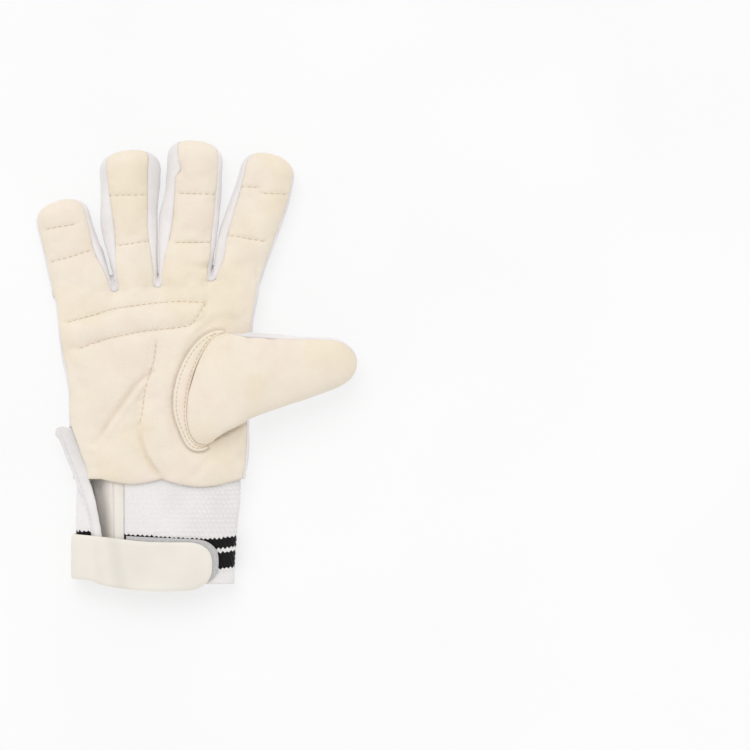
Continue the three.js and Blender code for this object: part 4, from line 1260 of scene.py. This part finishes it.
# x, y of the upper stripe's upper edge, and the level that the look gives it
STRIPE_TOP = table(
    [-66, -87.5], [-50, -88.0], [-37, -89.2], [6, -91.7], [21.5, -90.2], [24, -89.8],
)
STRIPE_LEVEL = -90.2
level = points[:, 1] - curve(STRIPE_TOP, np.clip(points[:, 0], -66, 24)) + STRIPE_LEVEL
# Painted shade in the knit's hollows and along its hem, from its lift.
make(
    "knit_cuff_visual", points, faces, knit, "knit", "knit_cuff",
    groove=grooves(lift, len(points), 0.0, -0.5, 0.5),
    stripe_level=np.where(np.arange(len(points)) < len(normals), level, 0),
    round=np.tile(cuff_round, 2),
)

# The folded binding along the vent's outer edge.
BINDING_ROWS, BINDING_RING, BINDING_SEAM = 170, 28, 1.9
y = np.linspace(VENT_EDGE[-1, 0] + 1.3, VENT_EDGE[0, 0], BINDING_ROWS + 1)
path = xyz(curve(VENT_EDGE, y), y, curve(VENT_EDGE, y, 2))
ahead = unit(np.gradient(path[:, :2], axis=0))
side = xyz(-ahead[:, 1], ahead[:, 0])
run, y = lengths_along(path)[:, None], y[:, None]
narrow = 0.1 + 0.9 * rounded(1 - np.clip(np.minimum(run, run[-1] - run) / 3.4, 0, 1), 2)
ring = np.linspace(0, -2 * np.pi, BINDING_RING + 1)
wide = BINDING_WIDE / 2 * signed_power(np.cos(ring), 0.8)
tall = BINDING_THICK / 2 * signed_power(np.sin(ring), 0.8)
beside = ease((-60 - y) / 8)
inwards = 1 + 1.3 * ease((y + 62) / 5) * ease((-31.6 - y) / 2) + 0.3 * bell(y + 66, 7)
outwards = 1 + 0.35 * ease((y + 70) / 8) + 0.1 * beside + 0.45 * bell(y + 34.6, 2.4)
spread = narrow * wide * np.where(wide > 0, inwards, outwards)
tube = path[:, None] + spread[..., None] * side[:, None]
tube[..., 2] += narrow * tall - 0.25 * (inwards - 1) * (wide > 0)
tube[..., 2] -= beside * np.clip(-wide / (BINDING_WIDE / 2), 0, 1)
caps = [np.repeat(path[None, [k]], BINDING_RING + 1, 1) for k in (0, -1)]
binding = Skin(("vent_binding", np.concatenate([caps[0], tube, caps[1]])))
seam_line = (path - side * BINDING_SEAM)[::10, :2]
points, upward = binding.points, binding.normals[:, 2]
lift = 0.25 * noise(points, 6, 71) + 0.12 * noise(points, 2.5, 72)
lift -= 0.4 * valley(seam_line, points, 0.7) * (upward > 0)
points = points + binding.normals * lift[:, None]
# Painted shade along the binding's seam, from its lift.
make(
    "vent_binding_visual", points,
    [without_repeats(q) for q in binding.faces["vent_binding"].tolist()],
    cotton, "cotton", "vent_binding", groove=grooves(lift, len(points)),
)
binding_outer = points[upward > 0.2], binding.normals[upward > 0.2]

# The warm white edging of the wrist's opening, rolled into it.
PLACKET_ROWS, PLACKET_ACROSS = 90, 26
y = np.linspace(-60, CUFF_BOTTOM, PLACKET_ROWS + 1)[:, None]
part = steps(PLACKET_ACROSS)[::-1]
x = mix(CUFF_LAP - 0.04, curve(PLACKET_LEFT, y), part)
rows = cuff_point(y, turn_at(x, y, CUFF_INSET))
rows[..., 2] -= curve(PLACKET_ROLL, part)
placket, _, _ = build_panel(
    Skin(("placket_binding", rows)), "placket_binding", LEATHER, lining, "cotton",
    soft_relief(0.3, 0.2, 81, [(PLACKET_FOLD, 0.3, 0.5)]), roll=0.1,
)
# Painted shade: it is darker along its fold and where it rolls down into the wrist.
corners = np.array([v.co for v in placket.data.vertices]) / MM + CENTRE
rolled = (CUFF_LAP - corners[:, 0]) / (CUFF_LAP - curve(PLACKET_LEFT, corners[:, 1]))
dark = 0.58 * ease((rolled - 0.45) / 0.42) + 0.55 * valley(PLACKET_FOLD, corners, 0.5)
placket.data.attributes["groove"].data.foreach_set("value", dark)

# The strap and, beneath its end, the fastener's lower half.


def rows_across(x, top, bottom, end, radius, n):
    """The y of rows across a strip whose corners are rounded at one end."""
    share = np.where(x > end - radius, rounded(1 - (end - x) / radius, TIP_SQUARE), 1)
    half = (top - bottom) / 2 * share
    return ((top + bottom) / 2)[:, None] - half[:, None] * close_at_edges(n)


STRAP_STEPS, STRAP_ACROSS, STRAP_END_STEPS, STRAP_END_PART = 249, 36, 12, 8 / 260
STRAP_DENTS = [
    ([(-44, -88), (-42, -104), (-39, -121)], 0.9, 3.6),
    ([(-53, -90), (-52, -104), (-51, -118)], 0.35, 3.0),
    ([(2, -97), (0, -106), (2, -115)], 0.25, 4.0),
]
start = turn_at(STRAP_END - 0.05, STRAP_MID, 0)
tail = 2 * np.pi - turn_at(STRAP_TAIL, STRAP_MID, 0)
turn = mix(start, tail, np.concatenate([
    STRAP_END_PART * quarter_turn(STRAP_END_STEPS),
    np.linspace(STRAP_END_PART, 1, STRAP_STEPS)[1:],
]))
x = around_body(STRAP_MID, turn, 0, -STRAP_RISE, 0)[..., 0]
top, bottom = curve(STRAP_EDGES, x), curve(STRAP_EDGES, x, 2)
y = rows_across(x, top, bottom, STRAP_END, STRAP_ROUND, STRAP_ACROSS)
strap = Skin(("wrist_strap", around_body(y, turn[:, None], 0, -STRAP_RISE, 0)))
build_panel(strap, "wrist_strap", STRAP, vinyl, "strap",
            soft_relief(0.35, 0.12, 91, STRAP_DENTS), roll=0.55, roll_width=1.1)

PATCH_STEPS, PATCH_ACROSS = 90, 44
x = PATCH_RIGHT - 0.05 - (PATCH_RIGHT - PATCH_LEFT - 0.05) * steps(PATCH_STEPS) ** 1.3
top = curve(PATCH_TOP, x)
y = rows_across(x, top, PATCH_BOTTOM, PATCH_RIGHT, PATCH_ROUND, PATCH_ACROSS)
x = x[:, None]
patch = Skin(("fastener_patch", xyz(x, y, body_top(x, y) - PATCH_DEPTH)))


def pile_relief(points, normals, away):
    return 0.12 * noise(points, 1.1, 95)


build_panel(patch, "fastener_patch", FASTENER, pile, "fastener", pile_relief, roll_width=0.6)

# Stitches: short threads that lie in the sewn channels.
THREAD_RINGS, THREAD_SIDES, THREAD_SUNK = 7, 8, 0.05


def lay_stitches(name, lines, outer, material, slot,
                 step=STITCH_STEP, length=STITCH, radius=THREAD_RADIUS):
    """One piece of short rounded threads along lines in plan, on a surface."""
    surface, points, faces = surface_of(*outer), [], []
    u = np.linspace(-1, 1, THREAD_RINGS)
    thick = radius * np.sqrt(np.clip(1 - (u * 0.93) ** 6, 0, 1))
    raised = radius * (0.6 - 0.9 * u**4) - THREAD_SUNK
    angle = 2 * np.pi * np.arange(THREAD_SIDES)[:, None] / THREAD_SIDES
    number = np.arange(THREAD_RINGS * THREAD_SIDES).reshape(THREAD_RINGS, THREAD_SIDES)
    after = np.roll(number, -1, axis=1)
    quads = np.stack([number[:-1], after[:-1], after[1:], number[1:]], -1).reshape(-1, 4)
    one = [*quads.tolist(), number[0, ::-1].tolist(), number[-1].tolist()]
    for line in lines:
        line = np.asarray(line, float)
        run = lengths_along(line)
        for begin in np.arange(step * 0.3, run[-1] - length, step):
            at = begin + length * steps(THREAD_RINGS - 1)
            x, y = (np.interp(at, run, line[:, k]) for k in (0, 1))
            z, normals = surface(x, y)
            centres = xyz(x, y, (z + z.mean()) / 2)
            normal = unit(normals.mean(0))
            ahead = unit(centres[-1] - centres[0])
            side = unit(np.cross(normal, ahead))
            ring = side * np.cos(angle) + np.cross(ahead, side) * np.sin(angle)
            centres += normal * raised[:, None]
            base = number.size * len(points)
            points.append((centres[:, None] + thick[:, None, None] * ring).reshape(-1, 3))
            faces += [[v + base for v in face] for face in one]
    make(name, np.concatenate(points), faces, material, slot)


lay_stitches("palm_stitching", SEWN, palm_outer, thread, "leather")
lay_stitches("welt_stitching", [line[::2] for line in welt_lines], welt_outer, thread, "leather",
             step=2.4, length=1.6, radius=0.19)
lay_stitches("binding_stitching", [seam_line[1:-1]], binding_outer, white_thread, "cotton",
             step=2.6, length=1.9, radius=0.2)

# The floor, the light and the view's colours.
FLOOR_REACH, FLOOR_Z = 3.0, -0.0001
FLOOR_GLOW, FLOOR_DARK, FLOOR_LIGHT = 0.62, 0.335, 0.355
WORLD_STRENGTH, KEY_STRENGTH, KEY_ANGLE, KEY_FROM = 0.8, 0.79, 45, (-0.2, 0.6, 1.0)
corners = [(-1, -1), (1, -1), (1, 1), (-1, 1)]
corners = [(x * FLOOR_REACH, y * FLOOR_REACH, FLOOR_Z) for x, y in corners]
floor_mesh = new_mesh("floor", corners, [[0, 1, 2, 3]])
floor = add_object("floor", floor_mesh)
floor_look = Look("pale_floor", 0.9, 0.1)
floor_look.shader.inputs["Emission Color"].default_value = (1, 1, 1, 1)
floor_look.shader.inputs["Emission Strength"].default_value = FLOOR_GLOW
grain = floor_look.texture("Noise", 6, Detail=2.0)
greys = floor_look.ramp(grain, (0.3, (FLOOR_DARK,) * 3), (0.7, (FLOOR_LIGHT,) * 3))
floor_mesh.materials.append(floor_look.finish(greys))

world = bpy.data.worlds.new("studio")
bpy.context.scene.world = world
world.use_nodes = True
sky = world.node_tree.nodes["Background"].inputs
sky["Color"].default_value = (1, 1, 1, 1)
sky["Strength"].default_value = WORLD_STRENGTH
key = bpy.data.lights.new("key", "SUN")
key.energy, key.angle = KEY_STRENGTH, math.radians(KEY_ANGLE)
lamp = add_object("key", key)
lamp.rotation_euler = Vector(KEY_FROM).to_track_quat("Z", "Y").to_euler()
bpy.context.scene.view_settings.view_transform = "Standard"
